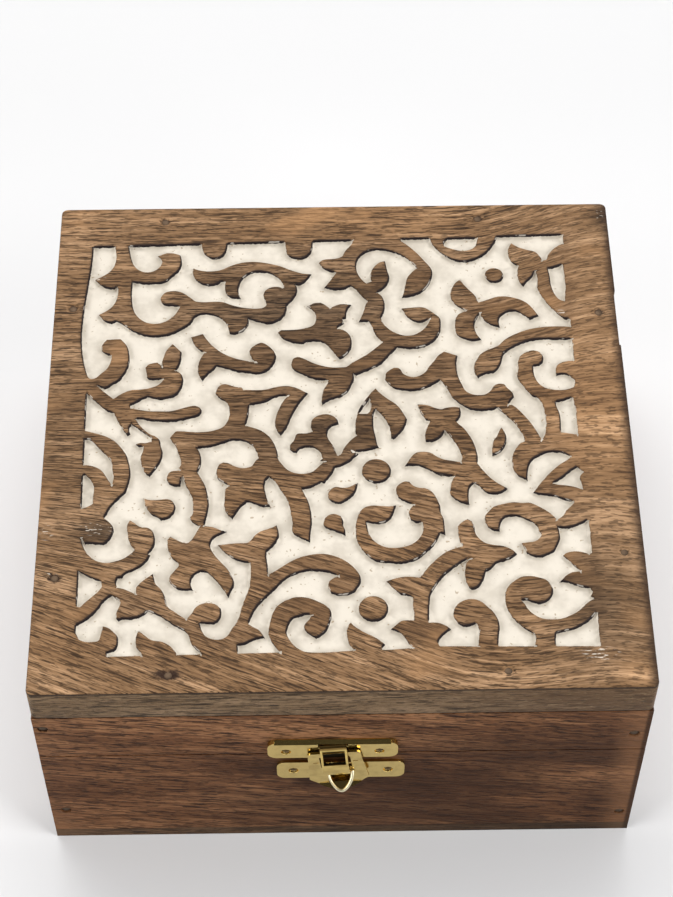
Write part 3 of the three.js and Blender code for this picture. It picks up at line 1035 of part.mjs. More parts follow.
function upperPlate() {
  const { centre, top, width, thickness } = UPPER_PLATE;
  const bevel = sectionX([
    [thickness + MOUTH, top - TOP_BEVEL.drop],
    [thickness + MOUTH, top + MOUTH],
    [thickness - TOP_BEVEL.depth, top + MOUTH],
    [thickness - TOP_BEVEL.depth, top],
    [thickness, top - TOP_BEVEL.drop],
  ], centre - width / 2 + TOP_BEVEL.inset, centre + width / 2 - TOP_BEVEL.inset);
  const { halfWidth, bottom, top: windowTop } = KNUCKLE_WINDOW;
  const { x, h } = HASP_PIN;
  const window = block(
    [x - halfWidth, -thickness - MOUTH, h + bottom],
    [x + halfWidth, MOUTH, h + windowTop],
  );
  const bore = pinBar(HASP_PIN.radius + PIN_FIT, HASP_PIN_HALF + PIN_FIT, true);
  return without(plate(UPPER_PLATE), [bevel, window, bore, ...holesFor(CATCH_NAILS)]);
}

const ROUND_SIDES = 12;

// The dimple is pressed out of the lower plate. The hasp's mouth drops over it.
function lowerPlate() {
  const { x, h, footRadius, topRadius, height } = DIMPLE;
  const front = LOWER_PLATE.thickness;
  const root = -front / 2;
  const profile = [[0, root], [footRadius, root], [footRadius, 0], [topRadius, height], [0, height]];
  const points = profile.map(([r, y]) => new THREE.Vector2(r, y));
  const geometry = new THREE.LatheGeometry(points, ROUND_SIDES);
  geometry.rotateX(Math.PI);
  geometry.translate(x, -front, h);
  return without(plate(LOWER_PLATE).add(solidOf(geometry)), holesFor(CATCH_NAILS));
}

// The strap is bent from the hasp's sheet: a knuckle round the pin, a slope outwards, an upright
// band and a step back to the shield.
function strap() {
  const { halfWidth, outward, bend, end } = HASP_STRAP;
  const radius = HASP_KNUCKLE_RADIUS;
  const away = Math.hypot(outward - HASP_PIN.p, bend);
  const lean = Math.atan2(bend, outward - HASP_PIN.p) + Math.acos(radius / away);
  const [np, nv] = [Math.cos(lean), Math.sin(lean)];
  const inner = radius - HASP_SHEET;
  const corner = HASP_SHEET * Math.tan(lean / 2);
  const section = [
    [HASP_PIN.p + radius * np, radius * nv],
    [HASP_PIN.p + inner * np, inner * nv],
    [outward - HASP_SHEET, bend - corner],
    [outward - HASP_SHEET, end + HASP_SHEET],
    [HASP_BACK, end + HASP_SHEET],
    [HASP_BACK, end],
    [outward, end],
    [outward, bend],
  ];
  const sheet = sectionX(section, -halfWidth, halfWidth);
  const knuckle = barX(radius, -halfWidth, halfWidth, -HASP_PIN.p, 0, KNUCKLE_SIDES);
  return sheet.add(knuckle);
}

// The shield's outline, symmetric about v. Its sides open slightly and it ends in a blunt point.
function shieldOutline() {
  const { top, halfTop, low, halfLow, tip } = HASP_SHIELD;
  const right = [
    [0, tip, 2.9, tip + 0.6, 5.2, tip + 1.3, halfLow, low - 0.8],
    [halfLow + 0.1, low],
    [halfTop + 0.3, top - 0.9, halfTop - 0.4, top],
  ];
  const points = outlinePoints([...right, [0, top]]).map(({ x, y }) => [x, y]).slice(0, -1);
  const left = points.slice(1).reverse().map(([x, y]) => [-x, y]);
  return [...points, ...left];
}

function shield() {
  const { top, tip } = HASP_SHIELD;
  const { fold, outward } = HASP_FLARE;
  const front = HASP_BACK + HASP_SHEET;
  const rise = outward - front;
  const beyond = MOUTH / (fold - tip) * rise;
  const sheet = sectionX([
    [HASP_BACK, top],
    [HASP_BACK, fold],
    [HASP_BACK + rise + beyond, tip - MOUTH],
    [front + rise + beyond, tip - MOUTH],
    [front, fold],
    [front, top],
  ], -2 * HASP_SHIELD.halfLow, 2 * HASP_SHIELD.halfLow);
  return forwards(shieldOutline(), 0, 2 * outward).intersect(sheet);
}

// The lip's outline: straight sides that close to a rounded point. grow makes it larger.
function lipOutline(grow) {
  const { root, tip, halfWidth } = HASP_LIP;
  const fall = tip - root;
  const near = { half: halfWidth * 0.42 + grow, v: tip - fall * 0.11 };
  const middle = { half: halfWidth * 0.88 + grow, v: root + fall * 0.55 };
  const right = [
    [0, tip - grow, near.half, near.v, middle.half, middle.v],
    [halfWidth + grow, root],
  ];
  const points = outlinePoints([...right, [0, root]]).map(({ x, y }) => [x, y]).slice(0, -1);
  const left = points.slice(1).reverse().map(([x, y]) => [-x, y]);
  return [...points, ...left].map(([x, y]) => [x + HASP_LIP_MIDDLE, y]);
}

// The lip is pressed out of the shield to lift the hasp by.
function lip() {
  const { root, tip, outward, sheet, halfWidth } = HASP_LIP;
  const front = HASP_BACK + HASP_SHEET;
  const slope = sectionX([
    [front, root + MOUTH],
    [HASP_BACK, root + MOUTH],
    [HASP_BACK, root - sheet],
    [outward - HASP_SHEET, tip - MOUTH],
    [outward + HASP_SHEET, tip - MOUTH],
    [outward, tip + sheet / 2],
    [front, root],
  ], -2 * halfWidth, 2 * halfWidth);
  return forwards(lipOutline(0), 0, 2 * outward).intersect(slope);
}

// A half-round flap is bent out under the mouth.
function flap() {
  const { halfWidth, thickness, outward } = HASP_FLAP;
  const nose = Array.from({ length: ROUND_SIDES + 1 }, (_, i) => {
    const angle = Math.PI * i / ROUND_SIDES;
    const x = HASP_LIP_MIDDLE - halfWidth * Math.cos(angle);
    return [x, halfWidth - outward - halfWidth * Math.sin(angle)];
  });
  const front = HASP_BACK + HASP_SHEET;
  const { bottom } = HASP_MOUTH;
  const shelf = raised(nose, bottom - thickness, bottom);
  const behind = slab(2 * halfWidth + HASP_LIP_MIDDLE, bottom - thickness - MOUTH, bottom + MOUTH, -outward, front);
  return without(shelf, [behind]);
}

function hasp() {
  const sheetFront = HASP_BACK + HASP_SHEET;
  const throughSheet = (halfWidth, bottom, top) => slab(halfWidth, bottom, top, 0, sheetFront + FIT);
  const { root, tip, outward } = HASP_LIP;
  const gap = forwards(lipOutline(FIT), 0, 2 * outward);
  const lipRoom = gap.intersect(slab(2 * HASP_SLOT.halfWidth, tip - MOUTH, root - FIT, 0, outward));
  const slit = ([u0, u1]) => block(
    [u0, -sheetFront - MOUTH, HASP_SLIT.v - HASP_SLIT.height / 2],
    [u1, -HASP_BACK + MOUTH, HASP_SLIT.v + HASP_SLIT.height / 2],
  );
  const sheet = without(shield(), [
    throughSheet(HASP_SLOT.halfWidth, HASP_SLOT.bottom, HASP_SLOT.top),
    slit([HASP_SLIT.inner, HASP_SLIT.outer]),
    slit([-HASP_SLIT.outer, -HASP_SLIT.inner]),
    lipRoom,
  ]);
  const cut = ({ halfWidth, bottom, top }, middle, p0, p1) => block(
    [middle - halfWidth, -p1, bottom],
    [middle + halfWidth, -p0, top],
  );
  const window = cut(HASP_WINDOW, 0, sheetFront - FIT, 2 * HASP_STRAP.outward);
  const mouth = cut(HASP_MOUTH, HASP_LIP_MIDDLE, 0, outward);
  const bore = pinBar(HASP_PIN.radius + PIN_FIT, HASP_STRAP.halfWidth + MOUTH, false);
  const lifted = without(lip(), [mouth]).add(flap());
  return without(joined([without(sheet, [mouth]), without(strap(), [window]), lifted]), [bore]);
}

function haspPin() {
  return pinBar(HASP_PIN.radius, HASP_PIN_HALF, false);
}

function mesh(name, solid, colour) {
  const [color, roughness, metalness] = COLOURS[colour];
  const material = new THREE.MeshStandardMaterial({ color, roughness, metalness });
  const piece = new THREE.Mesh(geometryOf(solid), material);
  piece.name = name;
  return piece;
}

function nailMeshes(rows, colour) {
  return rows.map((row) => mesh(row.name, nail(row.kind, row.at, row.direction, row.plate), colour));
}

function meshes(parts, colour) {
  return Object.entries(parts).map(([name, solid]) => mesh(name, solid, colour));
}

function catchGroup() {
  const catchOnBox = new THREE.Group();
  catchOnBox.position.set(0, -HALF_DEPTH, BODY_HEIGHT);
  const leaning = new THREE.Group();
  leaning.position.set(HASP_PIN.x, 0, HASP_PIN.h);
  leaning.rotation.y = -HASP_LEAN;
  leaning.add(mesh('hasp', hasp(), 'brass'), mesh('hasp_pin', haspPin(), 'brass'));
  catchOnBox.add(
    mesh('catch_upper_plate', upperPlate(), 'brass'),
    mesh('catch_lower_plate', lowerPlate(), 'brass'),
    ...nailMeshes(CATCH_NAILS, 'brass'),
    leaning,
  );
  return catchOnBox;
}

const jewelryBox = new THREE.Group();
jewelryBox.add(
  mesh('lid_panel', lidPanel(), 'panelWood'),
  ...meshes(lidBoards(), 'boardWood'),
  ...meshes(bodyBoards(), 'boardWood'),
  mesh('base_panel', basePanel(), 'innerWood'),
  mesh('felt_liner', liner(), 'felt'),
  ...nailMeshes([...LID_NAILS, ...CORNER_NAILS, ...BASE_NAILS], 'steel'),
  ...HINGES.flatMap(([name, x]) => meshes(hingeParts(name, x), 'brass')),
  ...nailMeshes(HINGE_SCREWS, 'brass'),
  catchGroup(),
);

export default jewelryBox;
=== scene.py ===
# %% [markdown]
# # A carved keepsake box with a small brass hasp
#
# The box is a tray and a shallow lid, nailed together from planed boards. A plank on top of the
# lid carries a scrollwork whose ground was cut away by about a millimetre and rubbed with white
# paint. Everything here is dressed around a finished engineering model, which is loaded first
# and never moved.

# %% The fixed frame
import json
import math

import bmesh
import bpy
import numpy as np
from mathutils import Matrix, Vector
from mathutils.geometry import delaunay_2d_cdt


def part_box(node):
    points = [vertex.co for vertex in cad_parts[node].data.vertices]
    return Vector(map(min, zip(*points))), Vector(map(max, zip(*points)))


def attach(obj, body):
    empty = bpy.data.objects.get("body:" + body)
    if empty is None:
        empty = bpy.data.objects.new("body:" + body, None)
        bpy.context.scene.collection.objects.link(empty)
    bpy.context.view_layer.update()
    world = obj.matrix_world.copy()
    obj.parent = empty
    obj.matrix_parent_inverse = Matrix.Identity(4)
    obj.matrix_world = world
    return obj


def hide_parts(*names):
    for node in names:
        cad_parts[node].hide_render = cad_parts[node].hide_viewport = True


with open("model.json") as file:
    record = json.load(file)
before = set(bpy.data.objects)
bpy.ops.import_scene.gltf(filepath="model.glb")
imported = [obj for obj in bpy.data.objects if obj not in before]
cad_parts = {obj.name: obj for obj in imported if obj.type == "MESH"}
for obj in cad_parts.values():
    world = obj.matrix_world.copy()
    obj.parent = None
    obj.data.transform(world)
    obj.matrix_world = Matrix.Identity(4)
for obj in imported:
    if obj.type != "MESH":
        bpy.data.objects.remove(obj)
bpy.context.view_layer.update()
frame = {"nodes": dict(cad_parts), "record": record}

MM = 0.001
BODIES = frame["record"]["behaviour"]["bodies"]
print("bodies:", {name: len(nodes) for name, nodes in BODIES.items()})

# %% [markdown]
# ## The camera
#
# The box's corners fix the camera: it looks down at the box from a little more than an arm's
# length, at about 54 degrees. The focal length is kept in pixels of the picture, since that is
# what the corners measure. Blender wants millimetres on a sensor that spans the longer side.

# %% Camera
PICTURE_HEIGHT = 897
FOCAL_PIXELS = 2228
SENSOR = 36
CAMERA_AZIMUTH = math.radians(-0.773)
CAMERA_ELEVATION = math.radians(54.214)
CAMERA_ROLL = math.radians(-0.073)
CAMERA_PLACE = Vector((-0.00502, -0.34218, 0.54231))


def camera_axes(azimuth, elevation, roll):
    """Right, up and back of a camera. Back points at the camera from what it sees: cosine and
    sine of the elevation share it between the ground direction of the azimuth and straight up.
    The roll then turns right and up about back."""
    level = math.cos(elevation)
    back = Vector((math.sin(azimuth) * level, -math.cos(azimuth) * level, math.sin(elevation)))
    right = Vector((0, 0, 1)).cross(back).normalized()
    up = back.cross(right)
    turned_right = math.cos(roll) * right + math.sin(roll) * up
    turned_up = math.cos(roll) * up - math.sin(roll) * right
    return turned_right, turned_up, back


camera = bpy.data.objects.new("camera", bpy.data.cameras.new("camera"))
camera.data.sensor_width = SENSOR
camera.data.lens = FOCAL_PIXELS * SENSOR / PICTURE_HEIGHT
camera.data.clip_start = 0.01
axes = camera_axes(CAMERA_AZIMUTH, CAMERA_ELEVATION, CAMERA_ROLL)
camera.matrix_world = Matrix.Translation(CAMERA_PLACE) @ Matrix(axes).transposed().to_4x4()
bpy.context.scene.collection.objects.link(camera)
bpy.context.scene.camera = camera
bpy.context.scene.view_settings.view_transform = "Standard"
print("lens", round(camera.data.lens, 2), "mm")

# %% [markdown]
# ## Writing shader maths as Python
#
# A material is a small program. Wiring it node by node hides the formula, so a class wraps a
# socket and lets plus, minus and times add the Math nodes. Every other node comes from one
# function that takes the node's type, its settings and what goes into its sockets. A mask is a
# step: where it begins, where it is complete, and how much it amounts to there.

# %% Arithmetic on sockets
class Wire:
    """One output socket. Arithmetic on wires and numbers adds Math nodes to their tree."""

    def __init__(self, tree, socket):
        self.tree = tree
        self.socket = socket

    def maths(self, operation, first, second):
        return node(self.tree, "Math", {"operation": operation}, {0: first, 1: second})

    def __add__(self, other):
        return self.maths("ADD", self, other)

    def __radd__(self, other):
        return self.maths("ADD", other, self)

    def __sub__(self, other):
        return self.maths("SUBTRACT", self, other)

    def __rsub__(self, other):
        return self.maths("SUBTRACT", other, self)

    def __mul__(self, other):
        return self.maths("MULTIPLY", self, other)

    def __rmul__(self, other):
        return self.maths("MULTIPLY", other, self)


def node(tree, kind, settings, inputs, output=0):
    """Adds a node. settings are its properties, inputs the values or wires of its sockets, by
    name or number. output picks one socket, or several as a tuple."""
    made = tree.nodes.new("ShaderNode" + kind)
    for name, value in settings.items():
        setattr(made, name, value)
    for name, value in inputs.items():
        if isinstance(value, Wire):
            tree.links.new(value.socket, made.inputs[name])
        else:
            made.inputs[name].default_value = value
    if isinstance(output, tuple):
        return [Wire(tree, made.outputs[i]) for i in output]
    return Wire(tree, made.outputs[output])


print("helpers:", Wire.__name__, node.__name__)

# %% Masks, colours and noise
def step(wire, low, high, top=1):
    """0 below low, top above high, and a smooth S between them."""
    inputs = {"Value": wire, "From Min": low, "From Max": high, "To Max": top}
    return node(wire.tree, "MapRange", {"interpolation_type": "SMOOTHSTEP"}, inputs)


def mix(factor, low, high):
    """The colour low where factor is 0 and high where it is 1."""
    low, high = (c if isinstance(c, Wire) else (*c, 1) for c in (low, high))
    return node(factor.tree, "Mix", {"data_type": "RGBA"}, {0: factor, 6: low, 7: high}, 2)


def scaled(colour, factor):
    """The colour with every channel multiplied by factor."""
    return node(factor.tree, "VectorMath", {"operation": "SCALE"}, {0: colour, "Scale": factor})


def absolute(wire):
    return node(wire.tree, "Math", {"operation": "ABSOLUTE"}, {0: wire})


def noise(place, cells, detail=3, roughness=0.55):
    """Soft noise from 0 to 1. cells says how many there are to a metre, on all axes or each."""
    scale = cells if isinstance(cells, tuple) else (cells, cells, cells)
    cells = node(place.tree, "Mapping", {}, {"Vector": place, "Scale": scale})
    inputs = {"Vector": cells, "Scale": 1, "Detail": detail, "Roughness": roughness}
    return node(place.tree, "TexNoise", {}, inputs)


def spots(place, cells, detail, low, high, top=1):
    """Spots cut out of noise: 0 where the noise is below low, and top where it is above high."""
    return step(noise(place, cells, detail), low, high, top)


def object_place(tree):
    return node(tree, "TexCoord", {}, {}, "Object")


def split(place):
    return node(place.tree, "SeparateXYZ", {}, {0: place}, (0, 1, 2))


def joined(x, y, z):
    return node(x.tree, "CombineXYZ", {}, {0: x, 1: y, 2: z})


print("helpers:", [made.__name__ for made in (step, mix, noise, spots)])

# %% A new material
def new_finish(name):
    """A material and its tree, with only a Principled shader and the output in it."""
    material = bpy.data.materials.new(name)
    material.use_nodes = True
    return material, material.node_tree


def set_surface(tree, bump=None, bump_distance=0.0001, **inputs):
    """Feeds the Principled shader. Spaces in a socket's name are written as underscores."""
    surface = tree.nodes["Principled BSDF"]
    if bump is not None:
        inputs_of_bump = {"Height": bump, "Distance": bump_distance, "Strength": 1}
        normal = node(tree, "Bump", {}, inputs_of_bump)
        tree.links.new(normal.socket, surface.inputs["Normal"])
    for name, value in inputs.items():
        socket = surface.inputs[name.replace("_", " ")]
        if isinstance(value, Wire):
            tree.links.new(value.socket, socket)
        else:
            socket.default_value = value


print("helpers:", new_finish.__name__, set_surface.__name__)

# %% [markdown]
# ## Floor, lamps and world
#
# The box stands on a pale round sweep, as in a small product studio. One large softbox hangs
# above and behind it, and two smaller ones stand left and right of the front. Shade is painted
# into the floor's colour: it is a little darker far behind the box and close in front of it,
# where the box's shadow lies. The world is pale towards the back and dark towards the front:
# polished brass needs something dark to mirror.

# %% Turned shapes and grids
def full_turn(count):
    """Equal angles once round, in radians."""
    return np.linspace(0, 2 * math.pi, count + 1)[:-1]


def turned(profile, sides):
    """Points of a surface of revolution about Z: radius times cosine and sine, and the height."""
    radius, height = np.array(profile, dtype=float).T
    turn = full_turn(sides)
    x = np.outer(radius, np.cos(turn))
    y = np.outer(radius, np.sin(turn))
    z = np.repeat(height[:, None], sides, axis=1)
    return np.stack([x, y, z], axis=-1)


def grid_faces(rows, columns, wrap=False):
    """Quads over a grid of points, row by row. wrap joins the last column to the first."""
    used = columns if wrap else columns - 1
    i, j = np.meshgrid(np.arange(rows - 1) * columns, np.arange(used), indexing="ij")
    k = (j + 1) % columns
    return np.stack([i + j, i + k, i + columns + k, i + columns + j], axis=-1).reshape(-1, 4)


print("quads of a ring of 3 by 4 points:", len(grid_faces(3, 4, wrap=True)))

# %% Mesh objects
def new_object(name, points, faces, material):
    """A mesh object in metres from an array of points and a list of faces."""
    mesh = bpy.data.meshes.new(name)
    mesh.from_pydata(np.reshape(points, (-1, 3)).tolist(), [], [list(face) for face in faces])
    mesh.materials.append(material)
    mesh.polygons.foreach_set("use_smooth", np.full(len(mesh.polygons), True))
    made = bpy.data.objects.new(name, mesh)
    bpy.context.scene.collection.objects.link(made)
    return made


def cleaned(piece, distance=1e-7):
    """Merges doubled points and turns the faces outwards."""
    work = bmesh.new()
    work.from_mesh(piece.data)
    bmesh.ops.remove_doubles(work, verts=work.verts, dist=distance)
    bmesh.ops.recalc_face_normals(work, faces=work.faces)
    work.to_mesh(piece.data)
    work.free()
    return piece


print("helpers:", new_object.__name__, cleaned.__name__)

# %% Floor
FLOOR_HALF = 3.0
FLOOR_RISE = 0.6
FLOOR_BEND = 0.5
PROFILE_STEPS = 24
SWEEP_SIDES = 96
FLOOR_COLOUR = (0.88, 0.88, 0.885)
FLOOR_PAINTED_SHADE_BEHIND = 0.81
FLOOR_PAINTED_LIGHT = (-0.21, -0.03, 0.19)
FLOOR_PAINTED_SHADOW = (0.064, 0.084, 0.16)


def sweep_profile():
    """The section of a studio sweep: level up to where it bends, a quarter circle up, and then
    straight up the wall."""
    angle = np.linspace(0, math.pi / 2, PROFILE_STEPS)
    bend = FLOOR_HALF - FLOOR_BEND + FLOOR_BEND * np.sin(angle)
    out = np.concatenate([[0], bend, [FLOOR_HALF]])
    up = np.concatenate([[0], FLOOR_BEND * (1 - np.cos(angle)), [FLOOR_RISE]])
    return np.column_stack([out, up])


floor_finish, tree = new_finish("floor")
forwards = 0 - split(object_place(tree))[1]
# Painted shade and light: the floor's colour is darker far behind the box and close in front of
# it, where its shadow lies.
painted_floor_light_and_shade = FLOOR_PAINTED_SHADE_BEHIND + step(forwards, *FLOOR_PAINTED_LIGHT) - step(forwards, *FLOOR_PAINTED_SHADOW)
floor_colour = scaled(FLOOR_COLOUR, painted_floor_light_and_shade)
set_surface(tree, Base_Color=floor_colour, Roughness=0.9, Specular_IOR_Level=0.1)
points = turned(sweep_profile(), SWEEP_SIDES)
faces = grid_faces(*points.shape[:2], wrap=True)
floor = cleaned(new_object("floor", points, faces[:, ::-1], floor_finish))
if floor.data.polygons[0].normal.z < 0:
    floor.data.flip_normals()
print("floor faces", len(floor.data.polygons))

# %% Lamps
def softbox(name, place, target, size, watts, colour=(1, 1, 1)):
    """A square area lamp that faces its target."""
    lamp = bpy.data.lights.new(name, "AREA")
    lamp.size = size
    lamp.energy = watts
    lamp.color = colour
    holder = bpy.data.objects.new(name, lamp)
    away = Vector(place) - Vector(target)
    turn = away.to_track_quat("Z", "Y").to_matrix().to_4x4()
    holder.matrix_world = Matrix.Translation(place) @ turn
    bpy.context.scene.collection.objects.link(holder)


BOX_MIDDLE = (0, 0, 0.04)
softbox("key_softbox", (-0.15, 0.85, 1.35), BOX_MIDDLE, 1.3, 15, (1, 0.985, 0.96))
softbox("left_softbox", (-1.2, -0.6, 0.85), BOX_MIDDLE, 0.9, 13)
softbox("right_softbox", (1.2, -0.6, 0.85), BOX_MIDDLE, 0.9, 17)

# %% World
WORLD_PALE = (0.62, 0.63, 0.65)
WORLD_DARK = (0.07, 0.066, 0.062)
WORLD_BLEND = (-0.5, 0.25)
world = bpy.data.worlds.new("studio")
world.use_nodes = True
bpy.context.scene.world = world
direction = split(node(world.node_tree, "TexCoord", {}, {}, "Generated"))
room = mix(step(direction[1], *WORLD_BLEND), WORLD_DARK, WORLD_PALE)
background = world.node_tree.nodes["Background"]
world.node_tree.links.new(room.socket, background.inputs["Color"])
print("world:", world.name)

# %% [markdown]
# ## Wood
#
# The boards look like a light walnut: open pores, drawn out along the fibre into short dark
# dashes, over broad bands of lighter and darker brown. Both are the same soft noise, squeezed
# hard across the fibre and stretched along it. The pores are the same pattern cut off at a high
# level, and they are pressed in a little with a bump, so they catch the light.

# %% Grain
def three_tones(dark, mid, light):
    return {"dark": dark, "mid": mid, "light": light}


LID_TONES = three_tones((0.10, 0.050, 0.021), (0.235, 0.130, 0.060), (0.45, 0.275, 0.15))
EDGE_TONES = three_tones((0.065, 0.037, 0.017), (0.15, 0.092, 0.046), (0.28, 0.185, 0.105))
BOARD_TONES = three_tones((0.036, 0.014, 0.006), (0.135, 0.056, 0.023), (0.34, 0.165, 0.076))
BASE_TONES = three_tones((0.035, 0.019, 0.010), (0.085, 0.045, 0.022), (0.19, 0.11, 0.06))
INSIDE_TONES = three_tones((0.20, 0.115, 0.06), (0.36, 0.23, 0.135), (0.50, 0.35, 0.22))
BAND_CELLS = (11, 85, 85)
FIBRE_CELLS = (60, 1100, 1100)
SHORT_PORES = ((420, 2600, 2600), 1, 0.54, 0.62)
LONG_PORES = ((130, 1700, 1700), 2, 0.56, 0.63)
PORE_STRENGTH = {"short": 0.6, "long": 0.85}
PORE_DEPTH = {"short": 0.4, "long": 0.8}
BAND_SHARE = 0.45
DARK_TO_MID = (0.34, 0.49)
MID_TO_LIGHT = (0.47, 0.64)
PORE_SHADE = 0.35
FIBRE_RELIEF = 0.35
WOOD_BUMP = 0.00012
WOOD_GLOSS = (0.5, 0.2)


def grain(place):
    """The layers of a board whose fibre runs along X: broad bands, fine fibre, and short and
    long pores, each from 0 to 1."""
    bands = noise(place, BAND_CELLS, detail=4, roughness=0.6)
    fibre = noise(place, FIBRE_CELLS, detail=5, roughness=0.75)
    return bands, fibre, spots(place, *SHORT_PORES), spots(place, *LONG_PORES)


def wood_colour(layers, tones):
    """Dark to mid to light along the bands and fibre together, and then the pores."""
    bands, fibre, short, long = layers
    level = bands * BAND_SHARE + fibre * (1 - BAND_SHARE)
    body = mix(step(level, *DARK_TO_MID), tones["dark"], tones["mid"])
    body = mix(step(level, *MID_TO_LIGHT), body, tones["light"])
    pore = tuple(PORE_SHADE * c for c in tones["dark"])
    body = mix(short * PORE_STRENGTH["short"], body, pore)
    return mix(long * PORE_STRENGTH["long"], body, pore)


def wood_relief(layers):
    """Height for the bump: the fibre stands up a little, and the pores are pressed in."""
    fibre, short, long = layers[1:]
    return fibre * FIBRE_RELIEF - short * PORE_DEPTH["short"] - long * PORE_DEPTH["long"]


def wood_roughness(layers):
    least, more_on_fibre = WOOD_GLOSS
    return least + layers[1] * more_on_fibre


print("light tone of the lid", LID_TONES["light"])

# %% [markdown]
# The boards of the walls run along X in front and at the back, and along Y at the sides. Their
# stain is uneven, in dark clouds. Low at the right of the front painted shade darkens it further,
# in the same clouds, and at both ends of the front handling has rubbed it lighter. The masks are
# in metres.

# %% Ways of the fibre
DOWNHILL_SLOPE = 0.14


def along_x(place):
    return place


def along_y(place):
    return node(place.tree, "Mapping", {}, {"Vector": place, "Rotation": (0, 0, math.pi / 2)})


def downhill(place):
    """Along X, and falling a little to the right."""
    x, y, z = split(place)
    return joined(x, y, z + DOWNHILL_SLOPE * x)


print("the front's fibre falls by", DOWNHILL_SLOPE)

# %% Bare inside, stained outside
INNER_HALF = (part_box("body_right_wall")[0][0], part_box("body_back_wall")[0][1])
BASE_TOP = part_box("base_panel")[1][2]
BARE_DEPTH = (-0.0006, -0.0001)
BARE_BLEND = 0.0004
CLOUD_SHARE = 0.25
PAINTED_SHADE_RIGHT = (-0.06, -0.01)
PAINTED_SHADE_LOW = (-0.062, -0.042)
PAINTED_SHADE_FRONT = (0.05, 0.0765)
STAIN_AND_SHADE_STRENGTH = 0.6
FRONT_FACES = (0.0755, 0.0765)
RUBBED_RIGHT = (0.066, 0.074, 0.35)
DARK_ARRIS = (0.0743, 0.0752, 0.85)
RUBBED_LOW_LEFT = (0.052, 0.072, 0.4)


def inside_mask(x, y, z):
    """1 on the faces inside the box, above its base."""
    depth_x = INNER_HALF[0] - absolute(x)
    depth_y = INNER_HALF[1] - absolute(y)
    inward = depth_x.maths("MINIMUM", depth_x, depth_y)
    return step(inward, *BARE_DEPTH) * step(z, BASE_TOP - BARE_BLEND, BASE_TOP)


def stained(wood, clouds, x, y, z, tones):
    """The wood with its dark clouds of stain, painted shade low at the right of the front, and
    the rubbed ends.
    """
    # Painted shade: the front is darkened low at the right, with the stain's clouds mixed in.
    painted_low_right_shade = step(x, *PAINTED_SHADE_RIGHT) * step(0 - z, *PAINTED_SHADE_LOW) * step(0 - y, *PAINTED_SHADE_FRONT)
    shade = painted_low_right_shade * (CLOUD_SHARE + (1 - CLOUD_SHARE) * clouds) + clouds * CLOUD_SHARE
    wood = mix(shade * STAIN_AND_SHADE_STRENGTH, wood, tones["dark"])
    in_front = step(0 - y, *FRONT_FACES)
    wood = mix(step(x, *RUBBED_RIGHT) * in_front, wood, tones["light"])
    wood = mix(step(x, *DARK_ARRIS) * in_front, wood, tones["dark"])
    return mix(step(0 - x - z, *RUBBED_LOW_LEFT) * in_front, wood, tones["light"])


print("inside half sizes", [round(float(h), 4) for h in INNER_HALF])

# %% Board finishes
CLOUDS = ((14, 60, 60), 4, 0.36, 0.60)


def board_finish(name, direction, tones):
    """A stained board. Inside the box the wood was left bare and is paler."""
    material, tree = new_finish(name)
    place = object_place(tree)
    x, y, z = split(place)
    layers = grain(direction(place))
    clouds = spots(direction(place), *CLOUDS)
    outer = stained(wood_colour(layers, tones), clouds, x, y, z, tones)
    colour = mix(inside_mask(x, y, z), outer, wood_colour(layers, INSIDE_TONES))
    set_surface(
        tree, wood_relief(layers), WOOD_BUMP,
        Base_Color=colour, Roughness=wood_roughness(layers), Specular_IOR_Level=0.1,
    )
    return material


board_along_x = board_finish("board_along_x", downhill, BOARD_TONES)
board_along_y = board_finish("board_along_y", along_y, BOARD_TONES)
base_finish = board_finish("base_board", along_x, BASE_TONES)
print("board finishes:", board_along_x.name, board_along_y.name, base_finish.name)

# %% [markdown]
# ## Boards with worn edges
#
# A board out of a plane has edges that are nearly sharp, but handling takes the last part of a
# millimetre off. The engineering model has perfect edges that catch no light. So each board is
# copied, its loose triangles are joined, and a small bevel is put on every real edge, nail seats
# and hinge pockets included. The normals are weighted by the size of the faces, so that a flat
# face between two bevels still looks flat.

# %% Softened copies
BOARD_WEAR = 0.18 * MM
BASE_WEAR = 0.35 * MM
JOIN_DISTANCE = 2e-6
FLAT_ANGLE = math.radians(0.5)
SHARP_ANGLE = math.radians(32)
BEVEL_SEGMENTS = 2
FACE_WEIGHT = 90


def body_of(name):
    return next(body for body, nodes in BODIES.items() if name in nodes)


def softened(name, width, material):
    """A copy of a CAD node with joined triangles, merged faces and edges rounded by width."""
    source = frame["nodes"][name]
    piece = bpy.data.objects.new(name + "_worn", source.data.copy())
    bpy.context.scene.collection.objects.link(piece)
    work = bmesh.new()
    work.from_mesh(piece.data)
    bmesh.ops.remove_doubles(work, verts=work.verts, dist=JOIN_DISTANCE)
    bmesh.ops.dissolve_limit(work, angle_limit=FLAT_ANGLE, verts=work.verts, edges=work.edges)
    work.to_mesh(piece.data)
    work.free()
    piece.data.materials.clear()
    piece.data.materials.append(material)
    piece.data.polygons.foreach_set("use_smooth", np.full(len(piece.data.polygons), True))
    bevel = piece.modifiers.new("worn edges", "BEVEL")
    bevel.width = width
    bevel.segments = BEVEL_SEGMENTS
    bevel.limit_method = "ANGLE"
    bevel.angle_limit = SHARP_ANGLE
    flatten = piece.modifiers.new("flat faces stay flat", "WEIGHTED_NORMAL")
    flatten.weight = FACE_WEIGHT
    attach(piece, body_of(name))
    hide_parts(name)


for name in sorted(frame["nodes"]):
    if name.endswith("_wall"):
        sideways = "left_wall" in name or "right_wall" in name
        softened(name, BOARD_WEAR, board_along_y if sideways else board_along_x)
softened("base_panel", BASE_WEAR, base_finish)

# %% [markdown]
# ## The carved lid panel
#
# The outline of every scroll is already in the engineering model, as the upper rim of a straight
# wall. A real chisel leaves no straight wall and no sharp rim: the wall leans a little, its foot
# runs out in a hollow and its rim is rubbed round. All of this depends only on how far a point
# is from the outline. So the steps are: read the outlines, smooth their chords into curves, lay
# points beside them at fixed distances, fill the plane with triangles, and give every point the
# height that its distance asks for.

